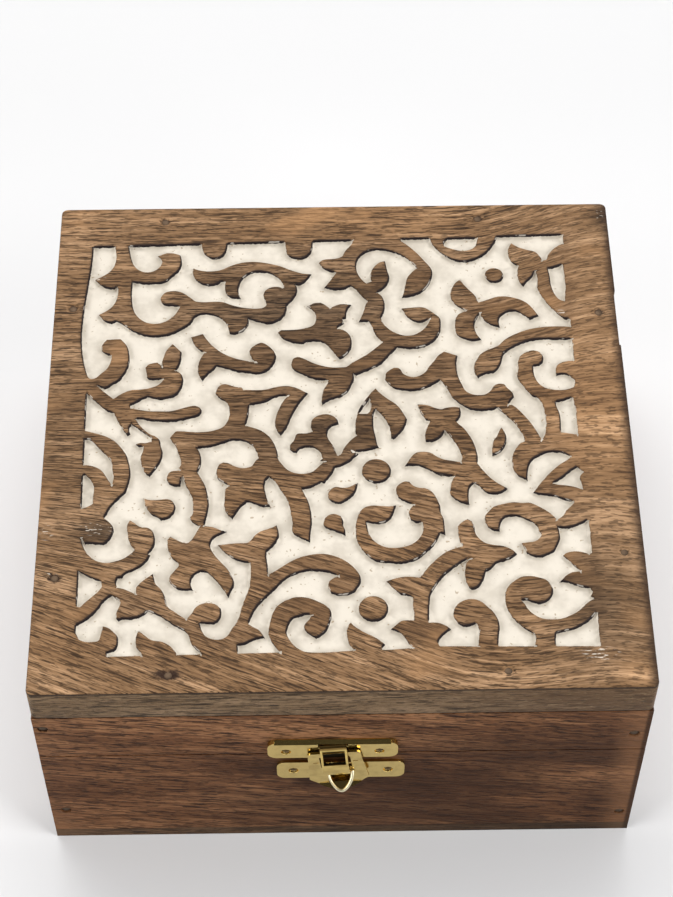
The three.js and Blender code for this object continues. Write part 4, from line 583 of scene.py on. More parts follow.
# %% Outlines of the scrolls
PANEL_LOW, PANEL_HIGH = (np.array(corner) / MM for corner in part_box("lid_panel"))
FACES_UP = 0.9
STANDS_UP = 0.3
SAME_HEIGHT = 0.01
BORDER_WIDTH = 1
SEAT_REACH = 2
LID_NAILS = [name for name in frame["nodes"] if name.startswith("lid_nail_")]


def node_centre(name):
    low, high = (np.array(corner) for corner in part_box(name))
    return (low + high) / 2 / MM


def rim_segments(name, height):
    """The edges between an upward face at that height and a wall, as two arrays of end points in
    millimetres. The raised wood is on the left of each."""
    work = bmesh.new()
    work.from_mesh(frame["nodes"][name].data)
    bmesh.ops.remove_doubles(work, verts=work.verts, dist=JOIN_DISTANCE)
    work.normal_update()
    starts, ends = [], []
    for face in work.faces:
        above = face.calc_center_median().z / MM - height
        if face.normal.z < FACES_UP or abs(above) > SAME_HEIGHT:
            continue
        for corner in face.loops:
            other = corner.link_loop_radial_next.face
            if abs(other.normal.z) < STANDS_UP:
                starts.append(corner.vert.co[:2])
                ends.append(corner.link_loop_next.vert.co[:2])
    work.free()
    return np.array(starts) / MM, np.array(ends) / MM


def scroll_segments():
    """The rim without the panel's own border and the nails' seats."""
    starts, ends = rim_segments("lid_panel", PANEL_HIGH[2])
    border = np.abs(starts).max(axis=1) > PANEL_HIGH[0] - BORDER_WIDTH
    seats = np.array([node_centre(name)[:2] for name in LID_NAILS])
    from_seat = np.linalg.norm(starts[:, None] - seats[None], axis=2).min(axis=1)
    keep = ~border & (from_seat > SEAT_REACH)
    return starts[keep], ends[keep]


rim_starts, rim_ends = scroll_segments()
print("outline segments", len(rim_starts))


# %% Smooth outlines
CORNER_COSINE = math.cos(math.radians(38))
OUTLINE_STEP = 0.5
KEY_WEIGHTS = np.array([1, 10_000_000])


def key(points):
    """One whole number for each point, made of its coordinates in thousandths."""
    return np.round(points * 1000).astype(np.int64) @ KEY_WEIGHTS


def neighbours(starts, ends):
    """For each segment, the number of the one before it and the one after it. Equal points are
    recognised by their keys."""
    order = np.argsort(key(starts))
    after = order[np.searchsorted(key(starts)[order], key(ends))]
    before = np.empty_like(after)
    before[after] = np.arange(len(after))
    return before, after


def unit(vectors):
    return vectors / np.maximum(np.linalg.norm(vectors, axis=1, keepdims=True), 1e-9)


def smoothed(starts, ends):
    """Bends each chord into a cubic. At an end where the outline turns gently the tangent is the
    mean of both chords, and at a corner it is the chord's own direction."""
    before, after = neighbours(starts, ends)
    chord = unit(ends - starts)
    length = np.linalg.norm(ends - starts, axis=1)

    def tangent(other):
        gentle = (chord * chord[other]).sum(axis=1) > CORNER_COSINE
        return np.where(gentle[:, None], unit(chord + chord[other]), chord)

    leave, arrive = tangent(before) * length[:, None], tangent(after) * length[:, None]
    pieces = np.maximum(1, np.ceil(length / OUTLINE_STEP)).astype(int)
    index = np.repeat(np.arange(len(starts)), pieces)
    count = np.arange(pieces.sum()) - np.repeat(np.cumsum(pieces) - pieces, pieces)

    def at(t):
        t = t[:, None]
        a, b, c, d = starts[index], ends[index], leave[index], arrive[index]
        return (
            (2 * t**3 - 3 * t**2 + 1) * a + (t**3 - 2 * t**2 + t) * c
            + (3 * t**2 - 2 * t**3) * b + (t**3 - t**2) * d
        )

    return at(count / pieces[index]), at((count + 1) / pieces[index])


fine_starts, fine_ends = smoothed(rim_starts, rim_ends)
print("smooth outline segments", len(fine_starts))


# %% Distance from the outline
REACH = 1.6
BAND = 1.0


def signed_distance(points):
    """Distance to the nearest outline, up to REACH, positive in raised wood. The plane is worked
    through in bands. A point is in the ground if a ray towards +X crosses the outlines an odd
    number of times, since the ray ends in the raised border."""
    distance = np.full(len(points), REACH)
    crossings = np.zeros(len(points), dtype=int)
    low = np.minimum(fine_starts[:, 1], fine_ends[:, 1])
    high = np.maximum(fine_starts[:, 1], fine_ends[:, 1])
    for y in np.arange(PANEL_LOW[1], PANEL_HIGH[1] + BAND, BAND):
        here = np.flatnonzero((points[:, 1] >= y) & (points[:, 1] < y + BAND))
        near = (low < y + BAND + REACH) & (high > y - REACH)
        if not here.size or not near.any():
            continue
        a, b, p = fine_starts[near][None], fine_ends[near][None], points[here][:, None]
        along = b - a
        t = ((p - a) * along).sum(axis=2) / np.maximum((along**2).sum(axis=2), 1e-12)
        foot = a + np.clip(t, 0, 1)[..., None] * along
        distance[here] = np.minimum(np.linalg.norm(p - foot, axis=2).min(axis=1), REACH)
        straddles = (a[..., 1] > p[..., 1]) != (b[..., 1] > p[..., 1])
        rise = np.where(straddles, b[..., 1] - a[..., 1], 1)
        cross_x = a[..., 0] + (p[..., 1] - a[..., 1]) / rise * (b[..., 0] - a[..., 0])
        crossings[here] = (straddles & (cross_x > p[..., 0])).sum(axis=1)
    return np.where(crossings % 2 == 1, -distance, distance)


print("distance at the middle of the panel", signed_distance(np.zeros((1, 2))).round(2), "mm")


# %% Height of the carved face
FACE_AT = [-0.7, -0.35, -0.14, 0.12, 0.28, 0.6]
FACE_DEPTH = [-1.2, -1.17, -1.05, -0.22, -0.06, 0]
GROUND_FROM = 0.7
GROUND_WAVE = {"seed": 1, "cell": 5, "height": 0.07, "level": 0.3}
DISH = {"radius": 1.45, "depth": 0.45, "steepness": 6}
WAVE_COUNT = 7
WAVE_PACE = (0.6, 1.5)


def waves(x, y, seed, cells):
    """A sum of a few sines with seeded directions, about as long as a cell, between -1 and 1."""
    draw = np.random.default_rng(seed)
    turn = draw.uniform(0, 2 * math.pi, WAVE_COUNT)
    phase = draw.uniform(0, 2 * math.pi, WAVE_COUNT)
    pace = draw.uniform(*WAVE_PACE, WAVE_COUNT) * 2 * math.pi / cells
    total = 0
    for t, p, k in zip(turn, phase, pace):
        total = total + np.sin(k * (x * math.cos(t) + y * math.sin(t)) + p)
    return total / WAVE_COUNT


def face_height(points, distance):
    """Depth below the panel's top: the chisel's profile over the distance, a slightly uneven
    ground, and a shallow dish at every nail."""
    depth = np.interp(distance, FACE_AT, FACE_DEPTH)
    ground = np.clip(-distance / GROUND_FROM, 0, 1)
    wave = waves(*points.T, GROUND_WAVE["seed"], GROUND_WAVE["cell"])
    depth = depth + GROUND_WAVE["height"] * ground * (wave - GROUND_WAVE["level"])
    for name in LID_NAILS:
        away = np.linalg.norm(points - node_centre(name)[:2], axis=1) / DISH["radius"]
        depth = depth - DISH["depth"] / (1 + away ** DISH["steepness"]) * (distance > 0)
    return depth


print("height there", face_height(np.zeros((1, 2)), np.full(1, REACH)).round(2), "mm")

# %% Points round the nails
RING_RADII = np.array([0, 0.5, 0.9, 1.2, 1.45, 1.7, 2.0, 2.5])
RING_POINTS = 20


def nail_rings():
    """Points in rings around each nail, to hold its dish."""
    turn = full_turn(RING_POINTS)
    x, y = np.outer(RING_RADII, np.cos(turn)), np.outer(RING_RADII, np.sin(turn))
    ring = np.stack([x, y], axis=-1).reshape(-1, 2)
    return np.concatenate([ring + node_centre(name)[:2] for name in LID_NAILS])


print("points round the nails", len(nail_rings()))

# %% [markdown]
# The plane is filled by a Delaunay triangulation. The outlines are its fixed edges, and the
# panel's border is fixed too, so that the sides can be sewn on point by point.

# %% The panel's border
EDGE_ROUND = 0.45
BORDER_STEP = 0.5
CORNER_RADIUS = 1.6
CHIP = {"low": 27, "high": 46, "depth": 0.85}


def border_points(inset):
    """The panel's outline, drawn in by inset, with equal numbers of points for every inset. A
    long chip is missing from the right side, and near a corner the points are pulled onto its
    round."""
    half = PANEL_HIGH[:2] - inset
    count = np.round(2 * PANEL_HIGH[:2] / BORDER_STEP).astype(int)
    x = np.linspace(-half[0], half[0], count[0] + 1)[:-1]
    y = np.linspace(-half[1], half[1], count[1] + 1)[:-1]
    chip = CHIP["depth"] * ((y > CHIP["low"]) & (y < CHIP["high"]))
    sides = [
        np.stack([x, np.full_like(x, -half[1])], axis=1),
        np.stack([half[0] - chip, y], axis=1),
        np.stack([-x, np.full_like(x, half[1])], axis=1),
        np.stack([np.full_like(y, -half[0]), -y], axis=1),
    ]
    points = np.concatenate(sides)
    centre = np.sign(points) * (half - CORNER_RADIUS)
    out = np.maximum(np.abs(points) - (half - CORNER_RADIUS), 0)
    reach = out.max(axis=1, keepdims=True)
    length = np.maximum(np.linalg.norm(out, axis=1, keepdims=True), 1e-9)
    round_part = centre + np.sign(points) * out / length * reach
    return np.where((out > 0).all(axis=1, keepdims=True), round_part, points)


print("border points", len(border_points(EDGE_ROUND)))

# %% The filled plane
BORDER_MARGIN = 0.3
FILLING_STEP = 2.0
FILLING_HALF = (74, 76)
FILLING_SHIFT = 0.13
POINT_DIGITS = 4
MERGE_DISTANCE = 1e-4


def inside_border(points, inset):
    return (np.abs(points) < PANEL_HIGH[:2] - inset).all(axis=1)


def sheet_points():
    """Border, outlines, lines beside the outlines, nail rings and a loose filling."""
    border = border_points(EDGE_ROUND)
    along = unit(fine_ends - fine_starts)
    left = np.stack([-along[:, 1], along[:, 0]], axis=1)
    middle = (fine_starts + fine_ends) / 2
    beside = np.concatenate([middle + left * offset for offset in FACE_AT])
    x, y = (np.arange(-half, half + 1, FILLING_STEP) for half in FILLING_HALF)
    filling = np.stack(np.meshgrid(x, y), axis=-1).reshape(-1, 2) + FILLING_SHIFT
    free = np.concatenate([beside, nail_rings(), filling])
    return border, free[inside_border(free, EDGE_ROUND + BORDER_MARGIN)]


def triangulated():
    """The flat sheet: points, triangles, and which points are the border's."""
    border, free = sheet_points()
    both = np.round(np.concatenate([fine_starts, fine_ends]), POINT_DIGITS)
    outline, where = np.unique(both, axis=0, return_inverse=True)
    first = len(border)
    edges = [(i, (i + 1) % first) for i in range(first)]
    pairs = (where.reshape(2, -1).T + first).tolist()
    edges += [(a, b) for a, b in pairs if a != b]
    flat = [Vector(p) for p in np.concatenate([border, outline, free]).tolist()]
    made = delaunay_2d_cdt(flat, edges, [], 1, MERGE_DISTANCE, True)
    sources = np.concatenate(made[3])
    numbers = np.repeat(np.arange(len(made[3])), [len(ids) for ids in made[3]])
    ring = np.empty(first, dtype=int)
    ring[sources[sources < first]] = numbers[sources < first]
    return np.array(made[0]), made[2], ring


flat_sheet = triangulated()
print("points and triangles", len(flat_sheet[0]), len(flat_sheet[1]))

# %% [markdown]
# Years of use have marked the lid: it is scraped in places, and lighter and darker in others.
# Round each nail the wood is darkened: painted shade in the nail's dish, and a dark smudge. Each
# mark is a soft round spot with its place and reach in millimetres. The numbers are kept on the
# mesh, where a material reads them.

# %% Marks on the lid
# Marks on the lid: x, y, and how far they reach along each. A tone also has its strength.
SCUFFS = np.array([
    (-64, 52.5, 2.2, 1.4), (-52, -1, 4, 2), (61.3, 38.4, 2, 1), (-61, -30, 6, 2.5),
    (-54, -37, 3, 2), (62, -68, 6, 2.5), (-74, -31, 2.5, 3), (74, 73, 1.2, 2.5),
    (-72, -44, 2, 1.4),
])
TONES = np.array([
    (-10, 42, 36, 15, -1.5), (-4, -1, 30, 12, -1.2), (0, 20, 46, 10, -0.6),
    (-71, -2, 8, 28, -0.5), (12, 72, 26, 6, 0.8), (46, 71, 14, 6, -0.2),
    (65, 6, 13, 22, 1.1), (-71, 73, 6, 4, 0.5), (64, -54, 12, 18, -1.2),
    (71, -74, 5, 4, 1.2), (-71, -66, 7, 9, 0.4), (-5, -32, 34, 8, 0.2),
    (-60, -31, 6.5, 4, -1.9), (-54, -38, 5, 3, -0.6), (73.5, 73, 2, 4, -1.6),
    (-52, -1, 4, 2, -0.8),
])
NAIL_SHADE_SIZES = {
    "lid_nail_front_left": np.array([2.8, 1.3]), "lid_nail_left_front": np.array([1.4, 1.1]),
    "lid_nail_right_front": 0.6, "lid_nail_front_right": 0.6,
}
NAIL_REACH = 4


def point_values(piece, name, values):
    """Keeps one number for each point on the mesh, where a material can read it."""
    piece.data.attributes.new(name, "FLOAT", "POINT").data.foreach_set("value", values)


def nail_distance(flat):
    """Millimetres to the nearest nail, up to a limit, over the size of the painted shade round
    that nail.
    """
    nearest = np.full(len(flat), float(NAIL_REACH))
    for name in LID_NAILS:
        away = (flat - node_centre(name)[:2]) / NAIL_SHADE_SIZES.get(name, 1)
        nearest = np.minimum(nearest, np.linalg.norm(away, axis=1))
    return nearest


def round_marks(flat, marks):
    """The soft round shape of each mark at each point, 1 in its middle."""
    away = (flat[None] - marks[:, None, :2]) / marks[:, None, 2:4]
    return np.exp(-(away**2).sum(axis=2))


print("marks on the lid:", len(SCUFFS) + len(TONES))

# %% [markdown]
# The filled plane is lowered to the height of the carving. Rings of points down the sides close
# it to a plank.

# %% The carved mesh
# The lean points to the near side of a scroll, turned from the light, where shade is painted on
# the rims.
LEAN_TOWARDS = np.array([0.35, -0.45])
LEAN_LENGTH = np.linalg.norm(LEAN_TOWARDS)
SIDE_INSET = 0.15
SIDE_DROPS = (0.5, 0.1)


def side_rings(count):
    """Rings of points under the border: over the rounded edge, down the side, and underneath."""
    height = PANEL_HIGH[2] - PANEL_LOW[2]
    quarter = np.radians([22.5, 45, 67.5, 90])
    insets = [*(EDGE_ROUND * (1 - np.sin(quarter))), 0, 0, SIDE_INSET, EDGE_ROUND]
    low = [height / 2, *(height - drop for drop in SIDE_DROPS), height]
    drops = [*(EDGE_ROUND * (1 - np.cos(quarter))), *low]
    levels = [np.full(count, PANEL_HIGH[2] - drop) for drop in drops]
    return [np.column_stack([border_points(i), z]) for i, z in zip(insets, levels)]


def carved_panel(material):
    """The carved sheet on top, a rounded edge, straight sides, and a flat underside."""
    flat, triangles, ring = flat_sheet
    faces = list(triangles)
    distance = signed_distance(flat)
    top = np.column_stack([flat, PANEL_HIGH[2] + face_height(flat, distance)])
    count = len(ring)
    rings = side_rings(count)
    numbers = [ring] + [len(top) + k * count + np.arange(count) for k in range(len(rings))]
    for above, below in zip(numbers, numbers[1:]):
        quads = np.stack([above, below, np.roll(below, -1), np.roll(above, -1)], axis=1)
        faces += quads.tolist()
    faces.append(numbers[-1][::-1].tolist())
    piece = new_object("carved_panel", np.concatenate([top, *rings]) * MM, faces, material)
    leaning = (distance - signed_distance(flat + LEAN_TOWARDS)) / LEAN_LENGTH
    on_top_and_side = {
        "edge": (distance, REACH),
        "lean": (leaning, 0),
        "nail": (nail_distance(flat), NAIL_REACH),
        "scuff": (round_marks(flat, SCUFFS).max(axis=0), 0),
        "tone": (TONES[:, 4] @ round_marks(flat, TONES), 0),
    }
    for name, (on_top, on_side) in on_top_and_side.items():
        sides = np.full(len(rings) * count, float(on_side))
        point_values(piece, name, np.concatenate([on_top, sides]))
    return piece


print("rings under the border:", len(side_rings(len(flat_sheet[2]))))

# %% [markdown]
# Its finish follows the carving. Height tells wood from ground: paint lies where the surface is
# near full depth. Five numbers are kept on the mesh for it: the distance from the outline tells
# where the rims are rubbed dark, the lean tells a rim on the near side of a scroll, where shade
# is painted, from one on its far side, and the others hold the painted shade and smudges round
# the nails, the scuffs and the wood's own tones. Distances on the mesh are in millimetres, and
# places and depths in metres.

# %% Fibre and fields of the lid
SLANT = 0.42
SLANT_FRONT = (-0.012, 0.055)
SLANT_EASES = (0.02, 0.07, 0.26)
BACK_RIGHT = (0.03, 0.07, 0.14)
BACK_HALF = (-0.01, 0.05)


def slanted(place):
    """The fibre runs along X. It turns towards the front right in the panel's front half, less
    so at the right, and a little the other way at the back right."""
    x, y, z = split(place)
    slant = step(0 - y, *SLANT_FRONT) * (SLANT - step(x, *SLANT_EASES))
    slant = slant - step(x, *BACK_RIGHT) * step(y, *BACK_HALF)
    return joined(x, y + x * slant, z)


def within(x, y, half, low, high):
    """1 inside a rectangle with those half sizes, falling to 0 near its border."""
    return step(half[0] - absolute(x), low, high) * step(half[1] - absolute(y), low, high)


print("slant of the fibre", SLANT)

# %% The wood on top
FIELD_HALF = (0.0655, 0.066)
FIELD_FADE = (0, 0.002)
PATCH_CELLS = (38, 60, 60)
DARK_PATCHES = (0.40, 0.60, 0.4)
WARM_PATCHES = (0.58, 0.72, 0.5)
WARM_PATCH = (0.40, 0.215, 0.095)
TOP_TONE = {"least": 0.97, "tone": 0.42, "fibre": 0.9}
BORDER_SHADE = (0.0736, 0.0768, 0.9)
BORDER_RAGGED = 0.0016
EDGE_SHADE = (0.030, 0.016, 0.010)
STREAKS = ((420, 2000, 2000), 2, 0.58, 0.64, 0.9)
SCUFFED = (0.3, 0.6)
SCUFF_LEAST = 0.4
SCRAPED = (0.70, 0.62, 0.52)
NAIL_CLEAR = (1.5, 2.4)
NAIL_RAGGED = 1.6
NAIL_DISH_SHADE = (0.038, 0.019, 0.011)


def aged_top(place, layers, marks, ragged):
    """The wood on top: patches, its own tones, the dark right border, scrapes, painted shade at
    nails.
    """
    x, y, _ = split(place)
    patches = noise(place, PATCH_CELLS)
    dark = step(patches, *DARK_PATCHES) * within(x, y, FIELD_HALF, *FIELD_FADE)
    top = mix(dark, wood_colour(layers, LID_TONES), LID_TONES["dark"])
    top = mix(step(patches, *WARM_PATCHES), top, WARM_PATCH)
    tone = TOP_TONE["least"] + marks["tone"] * TOP_TONE["tone"]
    top = scaled(top, tone + (layers[1] - 0.5) * TOP_TONE["fibre"])
    top = mix(step(x + ragged * BORDER_RAGGED, *BORDER_SHADE), top, EDGE_SHADE)
    scuffed = step(marks["scuff"] * (SCUFF_LEAST + patches), *SCUFFED)
    top = mix(scuffed * spots(place, *STREAKS), top, SCRAPED)
    # Painted shade and a dark smudge round each nail, in its dish.
    return mix(step(marks["nail"] + ragged * NAIL_RAGGED, *NAIL_CLEAR), NAIL_DISH_SHADE, top)


print("tone of the top", TOP_TONE)

# %% [markdown]
# Along their rims the scrolls are rubbed nearly black. On the near side, turned from the light,
# painted shade widens that band and darkens the wood towards the rim. Specks of the paint were
# left beside the band. The distance from the outline, kept on the mesh, says where.

# %% Rubbed rims and painted shade
PAINT = (0.71, 0.65, 0.558)
RIM_COLOUR = (0.020, 0.013, 0.012)
RIM_SHADE = (-1.2, -0.1, 0.3)
RIM_SHADE_LEAN = (-0.3, 0.6)
RIM_LEAST = 0.12
RIM_SHADE_WIDENS = (-0.2, 0.9, 0.6)
RIM_CORE = 0.35
RIM_SOFT = 0.45
SPECKS = (300, 2, 0.62, 0.66, 0.55)
SPECKS_BESIDE = (-0.3, -0.18)
SPECKS_RAGGED = 0.2


def worn_and_shaded_rims(top, place, marks, ragged):
    """Dark worn rims along the scrolls, widened on one side by painted shade, with specks of
    paint left on them.
    """
    edge, lean = marks["edge"], marks["lean"]
    # Painted shade: the wood darkens towards the rim on the side turned from the light.
    shade = step(0 - edge, *RIM_SHADE) * step(lean, *RIM_SHADE_LEAN)
    top = mix(shade, top, RIM_COLOUR)
    width = RIM_LEAST + step(lean, *RIM_SHADE_WIDENS)
    top = mix(step(edge, RIM_CORE * width, width * (RIM_SOFT + ragged)), RIM_COLOUR, top)
    beside = step(ragged * SPECKS_RAGGED - edge, *SPECKS_BESIDE)
    return mix(spots(place, *SPECKS) * beside, top, PAINT)


print("rims widen", RIM_SHADE_WIDENS)

# %% The plank's edge
EDGE_BROWN = (0.10, 0.052, 0.025)
BROWNER = (0.005, 0.06, 0.6)
PANEL_LINE_COLOUR = (0.028, 0.017, 0.011)
TOP_EDGE_SHADE = (-0.0011, -0.0007, 0.85)
LOW_LINE = (0.0111, 0.0116, 0.85)


def side_colour(place, x, depth, short):
    """The plank's planed edge: browner to the right, with painted shade as a dark line along its
    top, and a dark line at its bottom.
    """
    band = wood_colour(grain(place), EDGE_TONES)
    band = mix(step(x, *BROWNER) * (1 - short), band, EDGE_BROWN)
    # Painted shade along the rounded top edge, and a dark line at the bottom.
    return mix(step(0 - depth, *TOP_EDGE_SHADE) + step(depth, *LOW_LINE), band, PANEL_LINE_COLOUR)


print("brown of the edge", EDGE_BROWN)

# %% [markdown]
# The ground between the scrolls holds cream paint. It is dirty in places, has painted shade along
# the foot of the walls, and is broken by small dark flecks.

# %% Paint in the ground
PAINT_DIRT_AND_SHADE = (0.53, 0.475, 0.395)
DIRT_LEAST = 0.3
DIRT_CLEARS = (0.30, 0.58, 0.7)
FOOT_SHADE_SPOTS = (240, 2, 0.38, 0.58, 0.95)
FOOT_SHADE_ENDS = (0.3, 1.6)
FLECK = (0.30, 0.20, 0.10)
FLECK_CELLS = 1000
FLECK_DIRT = 0.5
FLECKS = (0.97, 1.03, 0.6)


def paint_colour(place, edge, dirt):
    """Chalky paint: dirtier in clouds, with painted shade at the foot of the walls and a few
    brown flecks.
    """
    paint = mix(step(dirt, *DIRT_CLEARS) + DIRT_LEAST, PAINT_DIRT_AND_SHADE, PAINT)
    # Painted shade at the foot of the walls, in patches.
    foot = mix(spots(place, *FOOT_SHADE_SPOTS), paint, PAINT_DIRT_AND_SHADE)
    paint = mix(step(0 - edge, *FOOT_SHADE_ENDS), foot, paint)
    flecks = noise(place, FLECK_CELLS, detail=1) + dirt * FLECK_DIRT
    return mix(step(flecks, *FLECKS), paint, FLECK)


print("cream paint", PAINT)

# %% Finish of the carved panel
FEWER_PORES = (0.045, 0.066, 0.8)
RAGGED_CELLS = 900
DIRT_CELLS = 150
NEAR_OUTLINE = (-0.7, -0.6)
WALL_AND_SHADE_COLOUR = (0.016, 0.012, 0.014)
WALL_STARTS = (0.0002, 0.0005)
SIDE_STARTS = (0.0002, 0.0003)
PANEL_HALF = tuple(float(half) * MM for half in PANEL_HIGH[:2])
BORDER_FADE = (0.001, 0.0015)
PAINTED = (0.00072, 0.00084)
PAINT_RAGGED = 0.0007
PAINT_LEAN = 0.3
PAINT_ROUGHNESS = 0.65
PANEL_BUMP = 0.00014


def panel_finish():
    """Wood on top, walls dark with painted shade, a planed edge, and paint in the ground."""
    material, tree = new_finish("carved_panel")
    place = object_place(tree)
    x, y, z = split(place)
    bands, fibre, short, long = grain(slanted(place))
    layers = (bands, fibre, short, long * (1 - step(x, *FEWER_PORES)))
    names = ("edge", "lean", "nail", "scuff", "tone")
    marks = {n: node(tree, "Attribute", {"attribute_name": n}, {}, "Fac") for n in names}
    depth = PANEL_HIGH[2] * MM - z
    ragged = noise(place, RAGGED_CELLS)
    dirt = noise(place, DIRT_CELLS, detail=5)
    top = worn_and_shaded_rims(aged_top(place, layers, marks, ragged), place, marks, ragged)
    near_outline = step(0 - marks["edge"], *NEAR_OUTLINE)
    # The walls are bare dark wood, and painted shade makes them near black.
    wood = mix(step(depth, *WALL_STARTS) * near_outline, top, WALL_AND_SHADE_COLOUR)
    side = step(depth, *SIDE_STARTS) * (1 - near_outline)
    off_border = within(x, y, PANEL_HALF, *BORDER_FADE)
    wood = mix(side * (1 - off_border), wood, side_colour(place, x, depth, short))
    uneven = depth + (ragged - marks["lean"] * PAINT_LEAN) * PAINT_RAGGED
    painted = step(uneven, *PAINTED) * near_outline
    colour = mix(painted, wood, paint_colour(place, marks["edge"], dirt))
    height = wood_relief(layers) * (1 - painted) + dirt * painted
    roughness = wood_roughness(layers) * (1 - painted) + painted * PAINT_ROUGHNESS
    set_surface(
        tree, height, PANEL_BUMP,
        Base_Color=colour, Roughness=roughness, Specular_IOR_Level=0.15,
    )
    return material


panel = carved_panel(panel_finish())
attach(panel, "lid")
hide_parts("lid_panel")
print("carved panel faces", len(panel.data.polygons))

# %% [markdown]
# ## Brass and steel
#
# The catch is thin stamped sheet, brass plated and tumbled until its edges are soft. It is
# nearly a mirror, so most of its look comes from what it mirrors; a little uneven roughness
# keeps it from looking like liquid.

# %% Metal finishes
BRASS = (0.64, 0.475, 0.165)
BRASS_DULL = (0.34, 0.23, 0.07)
STEEL = (0.10, 0.068, 0.045)
RUST = (0.035, 0.02, 0.012)
SHADED_NAIL_BRASS = (0.09, 0.055, 0.02)
TARNISH = (0.05, 0.03, 0.012)
METAL_CLOUDS = (0.42, 0.75, 0.35)


def metal_finish(name, bright, dull, roughness):
    """Bright metal with duller patches and fine uneven gloss."""
    material, tree = new_finish(name)
    place = object_place(tree)
    cloud = noise(place, 420, detail=4)
    colour = mix(step(cloud, *METAL_CLOUDS), bright, dull)
    gloss = roughness + spots(place, 2600, 3, 0.35, 0.8, 0.08) + 0.06 * cloud
    set_surface(tree, Base_Color=colour, Roughness=gloss, Metallic=1.0)
    return material


brass = metal_finish("brass", BRASS, BRASS_DULL, 0.12)
steel = metal_finish("nail_steel", STEEL, RUST, 0.42)
# The catch's nail heads are painted dark: painted shade, as if deep in their holes.
shaded_nail_brass = metal_finish("shaded_nail_brass", SHADED_NAIL_BRASS, TARNISH, 0.3)
print("metals:", brass.name, steel.name, shaded_nail_brass.name)

# %% Plates, hinges and pins
BRASS_EDGE = 0.14 * MM
for name in sorted(frame["nodes"]):
    if name.startswith(("hinge_", "catch_", "hasp_pin")) and "nail" not in name:
        softened(name, BRASS_EDGE, brass)
print("brass edges", BRASS_EDGE / MM, "mm")

# %% [markdown]
# ## The hasp
#
# The hasp hangs a little askew, so it is described in its own frame: u across it, v up from its
# pin, p out from the box. The window in its strap looks into a narrow hollow, whose shade is
# painted nearly black. The lip is rolled over at its border into a bead, painted paler as a
# painted highlight, which is swept here along the lip's outline.

# %% The hasp's own frame
HINGE = next(j for j in frame["record"]["behaviour"]["joints"] if j["name"] == "hasp_hinge")
HASP_LEAN = math.atan2(HINGE["axis"][2], HINGE["axis"][0]) + math.pi
PIN = np.array(HINGE["pos_m"]) / MM
FRONT_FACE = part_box("body_front_wall")[0][1] / MM


def from_hasp(u, v, p):
    """Millimetres of the box from the hasp's own u, v and p."""
    x = PIN[0] + u * math.cos(HASP_LEAN) - v * math.sin(HASP_LEAN)
    z = PIN[2] + u * math.sin(HASP_LEAN) + v * math.cos(HASP_LEAN)
    return np.stack([x, FRONT_FACE - p, z], axis=-1)


print("hasp leans", round(math.degrees(HASP_LEAN), 2), "degrees")

# %% [markdown]
# The lip of a pressed hasp ends in a rolled bead, so that it doesn't cut a finger. A thin tube
# that follows the lip gives that bead.

# %% The lip's bead
LIP = {"middle": 0.7, "root": -9.6, "length": 3.3, "half": 3.05, "front": 2.4, "rise": 1.27}
LIP_WAIST = 0.22
LIP_POINT = 0.9
BEAD_STEPS = 61
BEAD_RADII = (0.30, 0.46)
BEAD_SIDES = 14
BEAD_END = 1e-4
TUBE_UP = np.array([0, -0.6, 0.8])


def bead_path():
    """The lip's border, from one root round the tip to the other: nearly an ellipse, drawn to a
    soft point, on the lip's slope."""
    turn = np.linspace(-math.pi / 2, math.pi / 2, BEAD_STEPS)
    narrowed = 1 - LIP_WAIST * np.cos(turn) ** 2
    u = LIP["middle"] + LIP["half"] * np.sin(turn) * narrowed
    fall = LIP["length"] * np.cos(turn) ** LIP_POINT
    return from_hasp(u, LIP["root"] - fall, LIP["front"] + LIP["rise"] * fall)


def tube(path, radii, sides):
    """Circles across the path. The first and last shrink to a point and close the tube."""
    along = unit(np.gradient(path, axis=0))
    side = unit(np.cross(along, TUBE_UP))
    other = np.cross(side, along)
    turn = full_turn(sides)[None, :, None]
    ring = side[:, None] * np.cos(turn) + other[:, None] * np.sin(turn)
    grown = np.array(radii, dtype=float)
    grown[[0, -1]] = BEAD_END
    return path[:, None] + ring * grown[:, None, None]


def lip_bead(material):
    points = tube(bead_path(), np.linspace(*BEAD_RADII, BEAD_STEPS), BEAD_SIDES)
    faces = grid_faces(BEAD_STEPS, BEAD_SIDES, wrap=True)
    bead = cleaned(new_object("hasp_bead", points * MM, faces, material), 1e-6)
    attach(bead, "hasp")


print("points along the bead", len(bead_path()))

# %% [markdown]
# The hollow behind the window is painted nearly black: painted shade. The knuckle round the pin
# is brown.

# %% Finish of the hasp
HASP_CLOUDS = ((260, 420, 420), 4, 0.40, 0.70, 0.5)
HOLLOW = {"half": 2.82, "top": -0.2, "bottom": -3.9, "front": 4.05, "bend": -3.9, "rise": 0.566}
HOLLOW_SIDES = (-0.00004, 0.00004)
HOLLOW_FADE = 0.0001
HOLLOW_SHADE = (0.012, 0.009, 0.004)
KNUCKLE = (-0.0001, 0.0002)
KNUCKLE_COLOUR = (0.20, 0.11, 0.03)
HIGHLIT_BEAD_BRASS = (0.88, 0.80, 0.56)


def hollow_mask(u, v, p):
    """1 behind the window and under the strap's slope. u, v and p are wires in metres."""
    half, top, bottom = (HOLLOW[key] * MM for key in ("half", "top", "bottom"))
    beside = step(half - absolute(u), *HOLLOW_SIDES)
    between = step(v, bottom - HOLLOW_FADE, bottom) * step(top - v, 0, HOLLOW_FADE)
    limit = (HOLLOW["front"] + HOLLOW["rise"] * HOLLOW["bend"]) * MM
    return beside * between * step(limit - p - v * HOLLOW["rise"], 0, HOLLOW_FADE)


